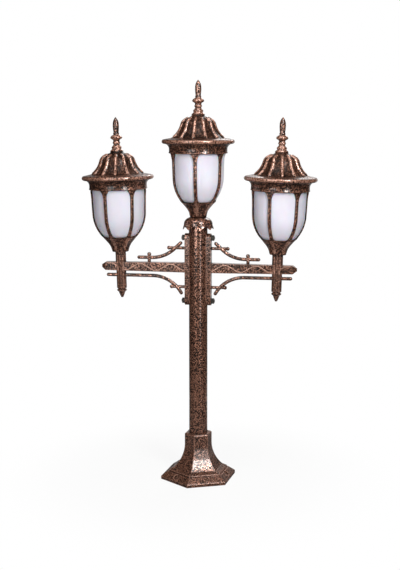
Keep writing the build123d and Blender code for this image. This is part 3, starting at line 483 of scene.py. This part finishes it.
def plain_metal(name, dark, light, metallic, roughness, grain_size):
    """Turned or plated metal with fine scuffs."""
    material, tree, surface = new_material(name)
    scuff = stretched(tree, grain(tree, grain_size, SCUFF_DETAIL, SCUFF_NOISE), *SCUFF_BAND)
    set_surface(
        tree, surface, Base_Color=mixed(tree, scuff, dark, light), Metallic=metallic,
        Roughness=maths(tree, "MULTIPLY_ADD", scuff, SCUFF_ROUGHER, roughness),
        Normal=bumped(tree, scuff, SCUFF_RELIEF, SCUFF_BUMP))
    return material


def moulded(name, shade, light, roughness, grain_size, coat=0.0):
    """Porcelain, plastic, rubber or frosted glass with a faint cloudiness and texture."""
    material, tree, surface = new_material(name)
    cloud = stretched(tree, grain(tree, grain_size, MOULDED_DETAIL), *CLOUD_BAND)
    set_surface(
        tree, surface, Base_Color=mixed(tree, cloud, shade, light), Coat_Weight=coat,
        Roughness=maths(tree, "MULTIPLY_ADD", cloud, MOULDED_ROUGHER, roughness),
        Normal=bumped(tree, cloud, MOULDED_RELIEF, MOULDED_BUMP))
    return material


# Finishes by name
COPPERS = {
    "cast_copper": dict(grain_size=0.0030, share=1.1),
    "base_copper": dict(grain_size=0.0026, share=1.05, edge_reach=BASE_EDGE_REACH, edge_low=0.7),
    "bar_copper": dict(grain_size=0.0028, share=0.85, zigzag=True),
    "worn_copper": dict(grain_size=0.0040, share=0.95, worn_by_mesh=True),
    "post_copper": dict(grain_size=0.0033, share=1.5),
    "rod_copper": dict(grain_size=0.0028, share=1.35, edge_low=0.2),
}
PLAIN_METALS = {
    "dark_steel": dict(
        dark=(0.018, 0.016, 0.014, 1), light=(0.10, 0.09, 0.08, 1),
        metallic=0.7, roughness=0.28, grain_size=0.003),
    "zinc_steel": dict(
        dark=(0.42, 0.43, 0.45, 1), light=(0.62, 0.63, 0.65, 1),
        metallic=1.0, roughness=0.30, grain_size=0.002),
    "bulb_cap": dict(
        dark=(0.50, 0.47, 0.42, 1), light=(0.72, 0.70, 0.66, 1),
        metallic=1.0, roughness=0.26, grain_size=0.002),
}
MOULDINGS = {
    "porcelain": dict(
        shade=(0.84, 0.82, 0.77, 1), light=(0.90, 0.89, 0.86, 1),
        roughness=0.16, grain_size=0.02, coat=0.3),
    "bulb_glass": dict(
        shade=(0.86, 0.86, 0.85, 1), light=(0.92, 0.92, 0.91, 1),
        roughness=0.24, grain_size=0.03),
    "gasket_rubber": dict(
        shade=(0.012, 0.012, 0.012, 1), light=(0.03, 0.03, 0.03, 1),
        roughness=0.6, grain_size=0.004),
    "terminal_plastic": dict(
        shade=(0.66, 0.64, 0.58, 1), light=(0.74, 0.73, 0.69, 1),
        roughness=0.42, grain_size=0.006),
}
MATERIALS = {"opal_glass": opal_glass("opal_glass")}
for make_finish, looks in ((rubbed_copper, COPPERS), (plain_metal, PLAIN_METALS), (moulded, MOULDINGS)):
    for finish_name, look in looks.items():
        MATERIALS[finish_name] = make_finish(finish_name, **look)


# Meshes
def seat_of(lantern):
    """Place of a lantern's own frame, whose height zero is the underside of the cage's cup."""
    joint = next(j for j in frame["joints"] if j["name"] == lantern + "_finial_turn")
    lean = Vector((0, 0, 1)).rotation_difference(Vector(joint["axis"]))
    return Matrix.Translation(joint["pos_m"]) @ lean.to_matrix().to_4x4()


def turned_place(place, turn=0.0):
    return place @ Matrix.Rotation(radians(turn), 4, "Z") @ Matrix.Scale(MM, 4)


def add_piece(name, shells, place, material, body, node):
    """Makes one piece from shells of points, faces and wear, and lets it stand for a node."""
    points, faces, wear = [], [], []
    for shell_points, shell_faces, shell_wear in shells:
        first = len(points)
        points += [place @ Vector(point) for point in shell_points]
        faces += [[first + corner for corner in face] for face in shell_faces]
        wear += shell_wear
    mesh = bpy.data.meshes.new(name)
    mesh.from_pydata(points, [], faces)
    mesh.attributes.new("wear", "FLOAT", "POINT").data.foreach_set("value", wear)
    tidy = bmesh.new()
    tidy.from_mesh(mesh)
    bmesh.ops.remove_doubles(tidy, verts=tidy.verts, dist=WELD_REACH)
    bmesh.ops.recalc_face_normals(tidy, faces=tidy.faces)
    tidy.to_mesh(mesh)
    tidy.free()
    mesh.shade_smooth()
    mesh.materials.append(material)
    piece = bpy.data.objects.new(name, mesh)
    bpy.context.scene.collection.objects.link(piece)
    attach(piece, body)
    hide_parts(node)


def spread(first, last, steps):
    """Even steps from the first value to the last, both among them."""
    return [first + (last - first) * k / steps for k in range(steps + 1)]


def all_round(steps):
    """Angles of one full turn."""
    return [2 * pi * k / steps for k in range(steps)]


def from_nearest(angle, count):
    """Angle from the nearest of some even spokes."""
    spacing = 2 * pi / count
    return (angle + spacing / 2) % spacing - spacing / 2


def grid_faces(rows, columns, rows_closed=True):
    """Faces between rows of points, each row a ring."""
    faces = []
    for row in range(rows if rows_closed else rows - 1):
        for column in range(columns):
            low, high = row * columns, (row + 1) % rows * columns
            side = (column + 1) % columns
            faces.append((low + column, low + side, high + side, high + column))
    return faces


def lathe(outline, steps, shape=None):
    """Closed outline turned about Z. Shape may move a point and give its wear, from its row and angle."""
    points, wear = [], []
    for row, (radius, height) in enumerate(outline):
        for angle in all_round(steps):
            out, up, worn = shape(row, angle) if shape else (0.0, 0.0, PLAIN_WEAR)
            points.append(((radius + out) * cos(angle), (radius + out) * sin(angle), height + up))
            wear.append(worn)
    return points, grid_faces(len(outline), steps), wear


def through(first, middle, last, steps):
    """Points of the arc through three points."""
    ax, ay = first
    bx, by = middle
    cx, cy = last
    divisor = 2 * (ax * (by - cy) + bx * (cy - ay) + cx * (ay - by))
    squares = [x * x + y * y for x, y in (first, middle, last)]
    x = (squares[0] * (by - cy) + squares[1] * (cy - ay) + squares[2] * (ay - by)) / divisor
    y = (squares[0] * (cx - bx) + squares[1] * (ax - cx) + squares[2] * (bx - ax)) / divisor
    start = Vector((ax - x, ay - y))
    turn = start.angle_signed(Vector((cx - x, cy - y)))
    points = []
    for part in spread(0.0, -turn, steps):
        spoke = start.copy()
        spoke.rotate(Matrix.Rotation(part, 2))
        points.append((x + spoke.x, y + spoke.y))
    return points


# Roof
def roof_edge():
    """Outline of skirt, cove and brim, from the skirt's inner foot to the foot of the dome."""
    lip = SKIRT_OUTER + SKIRT_LIP
    skirt = [
        (SKIRT_INNER, SKIRT_BOTTOM), (lip - LIP_ROUND, SKIRT_BOTTOM), (lip, SKIRT_BOTTOM + LIP_ROUND),
        (lip, LIP_SIDE_TOP), (SKIRT_OUTER, LIP_TOP)]
    diagonal = cos(radians(45))
    cove_middle = (
        SKIRT_OUTER + (BRIM_EDGE - SKIRT_OUTER) * (1 - diagonal),
        COVE_FOOT + (BRIM_BOTTOM - COVE_FOOT) * diagonal)
    cove = through((SKIRT_OUTER, COVE_FOOT), cove_middle, (BRIM_EDGE, BRIM_BOTTOM), COVE_STEPS)
    brim_middle = (BRIM_RADIUS, (BRIM_BOTTOM + BRIM_TOP) / 2)
    brim = through((BRIM_EDGE, BRIM_BOTTOM), brim_middle, (BRIM_EDGE, BRIM_TOP), BRIM_STEPS)
    brim_top = [
        (BRIM_EDGE - BRIM_SLOPE, BRIM_TOP + BRIM_SLOPE_RISE),
        (BRIM_INNER + BRIM_LEVEL, BRIM_TOP + BRIM_CROWN), (BRIM_INNER, BRIM_TOP + BRIM_CROWN)]
    return skirt + cove + brim[1:] + brim_top


def roof_edge_wear(radius):
    lip = SKIRT_OUTER + SKIRT_LIP
    if radius > BRIM_EDGE + BRIM_WORN_REACH:
        return BRIM_WEAR
    if lip - LIP_WORN_REACH <= radius <= lip:
        return LIP_WEAR
    return EDGE_GROUND_WEAR


def spoke_at(turn):
    """Direction at a turn in degrees, from outward to upward."""
    return Vector((cos(radians(turn)), sin(radians(turn))))


def dome_rows(inset):
    """Rows of the dome from its foot to the boss: point, outward direction, and place along the wall."""
    rows = []
    centre = Vector(CROWN_CENTRE)
    hollow_centre = centre + (CROWN_CURVE + HOLLOW_CURVE) * spoke_at(DOME_TURN)
    for turn in spread(DOME_FOOT_TURN, DOME_TURN, HOLLOW_STEPS):
        spoke = spoke_at(turn)
        along = HOLLOW_CURVE * radians(DOME_FOOT_TURN - turn)
        rows.append((hollow_centre - (HOLLOW_CURVE + inset) * spoke, spoke, along))
    foot_length = rows[-1][2]
    for turn in spread(DOME_TURN, CROWN_LEAN, CROWN_STEPS)[1:]:
        spoke = spoke_at(turn)
        along = foot_length + CROWN_CURVE * radians(turn - DOME_TURN)
        rows.append((centre + (CROWN_CURVE - inset) * spoke, spoke, along))
    top, spoke, top_length = rows[-1]
    for step in spread(0.0, top.x - ROOF_BOSS, CROWN_SLOPE_STEPS)[1:]:
        rise = step / tan(radians(CROWN_LEAN))
        rows.append((top + Vector((-step, rise)), spoke, top_length + hypot(step, rise)))
    return rows


def make_roof(lantern):
    edge = roof_edge()
    dome = dome_rows(RIDGE_RISE)
    cavity = [tuple(point) for point, spoke, along in dome_rows(RIDGE_RISE + ROOF_WALL)][::CAVITY_STRIDE]
    boss = [(ROOF_BOSS, ROOF_TOP), (ROOF_HOLE, ROOF_TOP), (ROOF_HOLE, cavity[-1][1])]
    inside = cavity[::-1] + [(ROOF_SEAT_BORE, ROOF_SEAT), (SKIRT_INNER, ROOF_SEAT)]
    outline = edge + [tuple(point) for point, spoke, along in dome] + boss + inside
    crest_start = HOLLOW_CURVE * radians(DOME_FOOT_TURN - RIDGE_FOOT_TURN)
    crest_end = next(along for point, spoke, along in dome if point.x < RIDGE_TOP)

    def shape(row, angle):
        dome_row = row - len(edge)
        if dome_row < 0:
            return 0.0, 0.0, roof_edge_wear(edge[row][0])
        if dome_row >= len(dome):
            return 0.0, 0.0, INSIDE_WEAR
        point, spoke, along = dome[dome_row]
        aside = (point.x + RIDGE_RISE) * sin(from_nearest(angle, RIDGE_COUNT))
        past = max(0.0, crest_start - along, along - crest_end)
        away = hypot(aside, past)
        if away >= RIDGE_RADIUS:
            return 0.0, 0.0, 0.0
        rise = RIDGE_RISE * sqrt(1 - (away / RIDGE_RADIUS) ** 2)
        return spoke.x * rise, spoke.y * rise, min(RIDGE_WEAR, RIDGE_WEAR_RISE * rise / RIDGE_RISE)

    shell = lathe(outline, RIDGE_COUNT * RIDGE_STEPS, shape)
    add_piece(
        lantern + "_roof_casting", [shell], turned_place(seat_of(lantern), ROOF_TURN[lantern]),
        MATERIALS["worn_copper"], lantern + "_roof", lantern + "_roof")


def make_finial(lantern):
    bore = [(0.0, FINIAL_BORE_DEPTH), (FINIAL_BORE, FINIAL_BORE_DEPTH)]
    outline = [(radius, ROOF_TOP + height) for radius, height in FINIAL_OUTLINE + bore]
    worn = [BEAD_WEAR if radius > FINIAL_BEAD else FINIAL_WEAR for radius, height in outline]
    shell = lathe(outline, FINIAL_STEPS, lambda row, angle: (0.0, 0.0, worn[row]))
    add_piece(
        lantern + "_finial_spire", [shell], turned_place(seat_of(lantern)), MATERIALS["worn_copper"],
        lantern + "_finial", lantern + "_finial")


# Cage and diffuser
def bell_centre():
    """Radius and height of the centre of the bell's curve."""
    lean = radians(BELL_LEAN)
    return BELL_RADIUS - BELL_CURVE * cos(lean), BELL_HEIGHT + BELL_CURVE * sin(lean)


def bell_point(lean, inset):
    """Point on the bell's curve where the wall has a lean, at an inset from the outside."""
    radius, height = bell_centre()
    reach = BELL_CURVE - inset
    return radius + reach * cos(radians(lean)), height - reach * sin(radians(lean))


def bell_radius(height, inset):
    """Radius of the bell's wall at a height: slope, curve and straight top, without the ring's flare."""
    low_radius, low = bell_point(CUP_LEAN, inset)
    high_radius, high = bell_point(BELL_LEAN, inset)
    if height < low:
        return low_radius - (low - height) * tan(radians(CUP_LEAN))
    if height > high:
        return high_radius + (height - high) * tan(radians(BELL_LEAN))
    centre_radius, centre_height = bell_centre()
    return centre_radius + sqrt((BELL_CURVE - inset) ** 2 - (centre_height - height) ** 2)


def outer_radius(height):
    """Radius of the cage's outside, with the flare below the ring."""
    if height <= RING_FLARE:
        return bell_radius(height, 0)
    start = bell_radius(RING_FLARE, 0)
    share = min(1.0, (height - RING_FLARE) / (RING_FOOT - RING_FLARE))
    return start + (RING_RADIUS - start) * share


def rib_side(radius):
    """Half the window between two ribs where its sides follow them."""
    half = pi / RIB_COUNT
    return sin(half) * sqrt(radius ** 2 - RIB_HALF_WIDTH ** 2) - cos(half) * RIB_HALF_WIDTH


def window_rows():
    """Heights from below the window to above it, each with half the window's width there."""
    low_radius, low = bell_point(WINDOW_LOW_LEAN, 0)
    side = rib_side(low_radius)
    foot = rib_side(bell_radius(WINDOW_BOTTOM, 0))
    slant = atan2(low - WINDOW_BOTTOM, side - foot)
    middle = foot - WINDOW_HEEL * tan(slant / 2)
    heel_foot = WINDOW_BOTTOM + WINDOW_STEP
    rows = [(height, 0.0) for height in spread(WINDOW_BOTTOM - SILL_HEIGHT, WINDOW_BOTTOM, SILL_STEPS)]
    for turn in spread(0.0, slant, HEEL_STEPS):
        rows.append((heel_foot + WINDOW_HEEL * (1 - cos(turn)), middle + WINDOW_HEEL * sin(turn)))
    heel_height, heel_half = rows[-1]
    slope = zip(spread(heel_height, low, HEEL_SLOPE_STEPS), spread(heel_half, side, HEEL_SLOPE_STEPS))
    rows += list(slope)[1:]
    corner_foot = WINDOW_TOP - CORNER_DROP
    for height in spread(low, corner_foot, WINDOW_STEPS)[1:]:
        rows.append((height, rib_side(bell_radius(height, 0))))
    top_half = rows[-1][1] - WINDOW_CORNER
    for turn in spread(0.0, pi / 2, CORNER_STEPS)[1:]:
        rows.append((corner_foot + CORNER_DROP * sin(turn), top_half + WINDOW_CORNER * cos(turn)))
    return rows + [(RIB_TOP, top_half)]


def rib_shell(turn):
    """One rib with its share of the wall, as a closed shell: outside columns, then inside ones."""
    points, wear = [], []
    rows = window_rows()
    rib_columns = [-share for share in reversed(RIB_SHARES)] + list(RIB_SHARES)
    for height, half_window in rows:
        radius = outer_radius(height)
        inner = bell_radius(height, CAGE_WALL)
        half = pi / RIB_COUNT - asin(min(1.0, half_window / radius))
        outside, inside = [], []
        for column in rib_columns:
            away = (1 - abs(column)) * half * radius
            drop, bead = 0.0, 0.0
            if half_window > 0:
                bead = max(0.0, 1 - abs(away - RIB_ROUND) / RIB_LIP_WIDTH)
                if away < RIB_ROUND:
                    drop = RIB_ROUND - sqrt(RIB_ROUND ** 2 - (RIB_ROUND - away) ** 2)
            reach = radius - drop + RIB_LIP * bead
            angle = turn + column * half
            outside.append((reach * cos(angle), reach * sin(angle), height))
            inside.append((inner * cos(angle), inner * sin(angle), height))
            wear.append(RIB_WEAR + RIB_LIP_WEAR * bead)
        wear += [INSIDE_WEAR] * len(inside)
        points += outside + inside[::-1]
    columns = 2 * len(rib_columns)
    faces = grid_faces(len(rows), columns, rows_closed=False)
    last = (len(rows) - 1) * columns
    faces += [tuple(range(columns)), tuple(range(last, last + columns))]
    return points, faces, wear


def cup_shell():
    """The cup: its foot, a fillet into the bell's slope, flutes below the windows, and its hollow."""
    foot_lean = radians(CUP_FOOT_LEAN)
    lean = radians(CUP_LEAN)
    waist = (CUP_RADIUS - bell_radius(0, 0)) / (tan(lean) - tan(foot_lean))
    reach = CUP_FILLET * tan((lean - foot_lean) / 2)
    fillet_radius = bell_radius(waist, 0) - reach * sin(foot_lean)
    fillet_height = waist - reach * cos(foot_lean)
    outside = [(CUP_HOLE, 0.0), (CUP_RADIUS - CUP_EDGE, 0.0), (CUP_RADIUS, CUP_EDGE)]
    for turn in spread(foot_lean, lean, CUP_STEPS):
        outside.append((
            fillet_radius + CUP_FILLET * (cos(foot_lean) - cos(turn)),
            fillet_height + CUP_FILLET * (sin(turn) - sin(foot_lean))))
    slope_start = outside[-1][1]
    for height in spread(slope_start, CUP_TOP, CUP_STEPS)[1:]:
        outside.append((bell_radius(height, 0), height))
    inside = [
        (bell_radius(CUP_TOP, CAGE_WALL), CUP_TOP), (bell_radius(CUP_LEDGE, CAGE_WALL), CUP_LEDGE),
        (CUP_BORE, CUP_LEDGE), (CUP_BORE, CUP_FLOOR), (CUP_HOLE, CUP_FLOOR)]
    top = len(outside)

    def shape(row, angle):
        if row >= top:
            return 0.0, 0.0, 0.0
        if row < FLUTE_FIRST_ROW:
            return 0.0, 0.0, CUP_FOOT_WEAR
        swell = (1 + cos(RIB_COUNT * angle)) / 2
        started = (row - FLUTE_FIRST_ROW + 1) / FLUTE_START_ROWS
        depth = CUP_FLUTE * min(1.0, started, (top - row) / FLUTE_END_ROWS)
        return -depth * (1 - swell ** 2), 0.0, FLUTE_WEAR + FLUTE_CREST_WEAR * swell ** 3

    return lathe(outside + inside, ROUND_STEPS, shape)


def ring_shell():
    outside = [(RING_RADIUS, WINDOW_TOP), (RING_RADIUS, RING_TOP)]
    inside = [(bell_radius(height, CAGE_WALL), height) for height in (RING_TOP, WINDOW_TOP)]
    return lathe(outside + inside, ROUND_STEPS)


def make_cage(lantern):
    ribs = [rib_shell(turn) for turn in all_round(RIB_COUNT)]
    add_piece(
        lantern + "_ribbed_cage", ribs + [cup_shell(), ring_shell()],
        turned_place(seat_of(lantern), CAGE_TURN[lantern]), MATERIALS["worn_copper"],
        "column", lantern + "_cage")


def make_diffuser(lantern):
    heights = spread(CUP_LEDGE, DIFFUSER_TOP, DIFFUSER_STEPS)
    outside = [(bell_radius(height, DIFFUSER_INSET), height) for height in heights]
    inside = [(bell_radius(height, DIFFUSER_INSET + DIFFUSER_WALL), height) for height in heights]
    shell = lathe(outside + inside[::-1], ROUND_STEPS)
    add_piece(
        lantern + "_opal_diffuser", [shell], turned_place(seat_of(lantern)), MATERIALS["opal_glass"],
        "column", lantern + "_diffuser")


# Leaf collar
def shoulder(inset):
    """Rounded shoulder from the neck out and down to the petals' root."""
    width = COLLAR_RADIUS - inset - COLLAR_NECK
    drop = SHOULDER_DROP - inset
    turns = spread(0.0, pi / 2, SHOULDER_STEPS)
    return [(COLLAR_NECK + width * sin(turn), PETAL_ROOT + drop * cos(turn)) for turn in turns]


def petal_spot(angle, share, inside):
    """Radius, height and wear of a petal, at a share of the way from its root to its edge."""
    aside = abs(from_nearest(angle, PETAL_COUNT)) / (pi / PETAL_COUNT)
    middle = 1 - aside
    edge = COLLAR_TOP - PETAL_DROP + PETAL_NOTCH * aside ** PETAL_FULLNESS
    curl = PETAL_CURL * share ** CURL_POWER * (CURL_AT_NOTCH + (1 - CURL_AT_NOTCH) * middle)
    radius = COLLAR_RADIUS + (PETAL_RADIUS - COLLAR_RADIUS) * share + curl
    if inside:
        thickness = COLLAR_WALL + (PETAL_THICKNESS - COLLAR_WALL) * share
        radius -= thickness - PETAL_TAPER * share ** CURL_POWER
        wear = INSIDE_WEAR
    else:
        radius -= PETAL_CREASE * aside ** 2 * min(1.0, share / CREASE_START)
        wear = PETAL_WEAR + PETAL_TIP_WEAR * middle * share
    return radius, PETAL_ROOT + (edge - PETAL_ROOT) * share, wear


def make_collar():
    angles = all_round(PETAL_COUNT * PETAL_STEPS)
    shares = spread(0.0, 1.0, PETAL_ROWS)[1:]
    outer_top = [(COLLAR_HOLE, COLLAR_TOP)] + shoulder(0.0)
    inner_top = shoulder(COLLAR_WALL)[::-1] + [(COLLAR_HOLE, COLLAR_TOP - COLLAR_WALL)]
    rows = [[(radius, height, SHOULDER_WEAR)] * len(angles) for radius, height in outer_top]
    rows += [[petal_spot(angle, share, False) for angle in angles] for share in shares]
    rows += [[petal_spot(angle, share, True) for angle in angles] for share in reversed(shares)]
    rows += [[(radius, height, 0.0)] * len(angles) for radius, height in inner_top]
    points, wear = [], []
    for row in rows:
        for angle, (radius, height, worn) in zip(angles, row):
            points.append((radius * cos(angle), radius * sin(angle), height))
            wear.append(worn)
    shell = (points, grid_faces(len(rows), len(angles)), wear)
    add_piece(
        "petal_collar", [shell], turned_place(Matrix.Identity(4), PETAL_TURN), MATERIALS["worn_copper"],
        "column", "leaf_collar")


for lantern_name in LANTERNS:
    make_roof(lantern_name)
    make_finial(lantern_name)
    make_cage(lantern_name)
    make_diffuser(lantern_name)
make_collar()

# The nodes that keep their own solids take the finish of their slot, or one with its own edges or relief
ROD_NODES = (
    "arm_stem", "stem_pendant", "upper_scroll", "lower_scroll", "upper_link", "lower_link", "scroll_peg")
FINISHES = {"base_casting": "base_copper"}
for side in ("left", "right"):
    FINISHES[side + "_arm_bar"] = "bar_copper"
    for rod in ROD_NODES:
        FINISHES[side + "_" + rod] = "rod_copper"
for subpart in frame["record"]["subparts"]:
    solid = frame["nodes"][subpart["node"]]
    solid.data.materials.clear()
    finish = FINISHES.get(subpart["node"], subpart["material_slot"])
    solid.data.materials.append(MATERIALS[finish])

# Stage, in metres
WHITE = (1.0, 1.0, 1.0, 1.0)
FLOOR_SIZE = 1.6
FLOOR_GAP = 0.0005      # between the floor and the foot
FLOOR_PALE = (0.80, 0.80, 0.80, 1.0)
# Painted dark reflection: the floor's colour as reflections in front of the back band see it, darker than its own
# pale colour
FLOOR_DARK_IN_REFLECTIONS = (0.15, 0.15, 0.15, 1.0)
FLOOR_LIFT = 0.89       # of the floor towards white at the foot, where it keeps most of its shadow
SHADOW_REACH = 0.6      # from the post, where the floor has become as white as the background
SHADOW_START = 0.2      # from the post, where the floor begins to whiten
FLOOR_BEHIND = (0.3, 0.9)       # band behind the post where reflections begin to show a white floor
WORLD_FILL = 0.06
ROOM_GLOW = 0.03        # of the room in front of the light, as reflections show it
BACKDROP_BAND = (0.85, 1.0)     # of directions to the back, where reflections show a white backdrop


def backdrop_white(name):
    """Pale floor with a soft shadow, white to the camera and, behind the light, to reflections; elsewhere
    reflections show it painted darker than its own colour.
    """
    material = bpy.data.materials.new(name)
    tree = cleared_tree(material)
    path = shader_node(tree, "LightPath").outputs
    place = object_place(tree)
    behind = stretched(tree, depth_of(tree, place), *FLOOR_BEHIND)
    reflected = maths(tree, "ADD", path["Is Glossy Ray"], path["Is Transmission Ray"], clamp=True)
    seen = maths(tree, "ADD", path["Is Camera Ray"], product(tree, reflected, behind), clamp=True)
    # Reflections see the floor in its painted darker colour, the camera and lighting rays in its pale one
    matt = shader_node(tree, "BsdfDiffuse", {"Color": mixed(tree, reflected, FLOOR_PALE, FLOOR_DARK_IN_REFLECTIONS)})
    glow = shader_node(tree, "Emission", {"Color": WHITE, "Strength": 1.0})
    away = shader_node(tree, "VectorMath", {0: place}, operation="LENGTH").outputs["Value"]
    lift = stretched(tree, away, SHADOW_START, SHADOW_REACH, FLOOR_LIFT, 1.0)
    share = product(tree, seen, lift)
    both = shader_node(tree, "MixShader", {0: share, 1: matt.outputs[0], 2: glow.outputs[0]})
    shader_node(tree, "OutputMaterial", {"Surface": both.outputs[0]})
    return material


def studio_world(name):
    """White to the camera, a white backdrop and a dim room to reflections, and a weak fill."""
    world = bpy.data.worlds.new(name)
    tree = cleared_tree(world)
    path = shader_node(tree, "LightPath").outputs
    seen = maths(tree, "ADD", path["Is Camera Ray"], path["Is Glossy Ray"], clamp=True)
    seen = maths(tree, "ADD", seen, path["Is Transmission Ray"], clamp=True)
    behind = depth_of(tree, shader_node(tree, "TexCoord").outputs["Generated"])
    backdrop = stretched(tree, behind, *BACKDROP_BAND, ROOM_GLOW, 1.0)
    backdrop = maths(tree, "MAXIMUM", backdrop, path["Is Camera Ray"])
    levels = {"Value": seen, "To Min": WORLD_FILL, "To Max": backdrop}
    strength = shader_node(tree, "MapRange", levels).outputs["Result"]
    background = shader_node(tree, "Background", {"Color": WHITE, "Strength": strength})
    shader_node(tree, "OutputWorld", {"Surface": background.outputs[0]})
    return world


bpy.ops.mesh.primitive_plane_add(size=FLOOR_SIZE, location=(0, 0, -FLOOR_GAP))
floor = bpy.context.object
floor.name = "floor"
floor.data.materials.append(backdrop_white("floor_white"))
bpy.context.scene.world = studio_world("studio")

# Softboxes: place, point that each faces, width and height in metres, and power in watts
SOFTBOXES = {
    "key": ((1.53, -2.10, 1.0), (0, 0, 0.8), (0.5, 2.2), 9.5),
    "banner": ((1.06, -1.46, 1.76), (0, 0, 0.4), (0.5, 1.3), 28.0),
    "front": ((-1.0, -3.0, 1.3), (0, 0, 0.8), (1.6, 2.0), 36.0),
    "top": ((0.0, -0.9, 2.6), (0, 0, 0.7), (2.4, 1.2), 20.0),
    "back": ((0.3, 2.4, 2.3), (0, 0, 0.6), (1.6, 1.2), 32.0),
}


def softbox(name, place, aim, size, power):
    lamp = bpy.data.lights.new(name, "AREA")
    lamp.shape = "RECTANGLE"
    lamp.size, lamp.size_y = size
    lamp.energy = power
    made = bpy.data.objects.new(name, lamp)
    bpy.context.scene.collection.objects.link(made)
    made.location = place
    made.rotation_euler = (Vector(aim) - Vector(place)).to_track_quat("-Z", "Y").to_euler()


for lamp_name, setting in SOFTBOXES.items():
    softbox(lamp_name, *setting)

# Camera at the photograph's angle: place in metres, turns in degrees, lens and sensor in millimetres
CAMERA_PLACE = (0.4544, -2.7456, 0.986)
CAMERA_TILT = 80.85
CAMERA_TURN = 9.3
CAMERA_LENS = 65.84
CAMERA_SENSOR = 36.0
view = bpy.data.cameras.new("camera")
view.lens = CAMERA_LENS
view.sensor_width = CAMERA_SENSOR
camera = bpy.data.objects.new("camera", view)
camera.location = CAMERA_PLACE
camera.rotation_euler = (radians(CAMERA_TILT), 0, radians(CAMERA_TURN))
bpy.context.scene.collection.objects.link(camera)
bpy.context.scene.camera = camera
bpy.context.scene.view_settings.view_transform = "Standard"
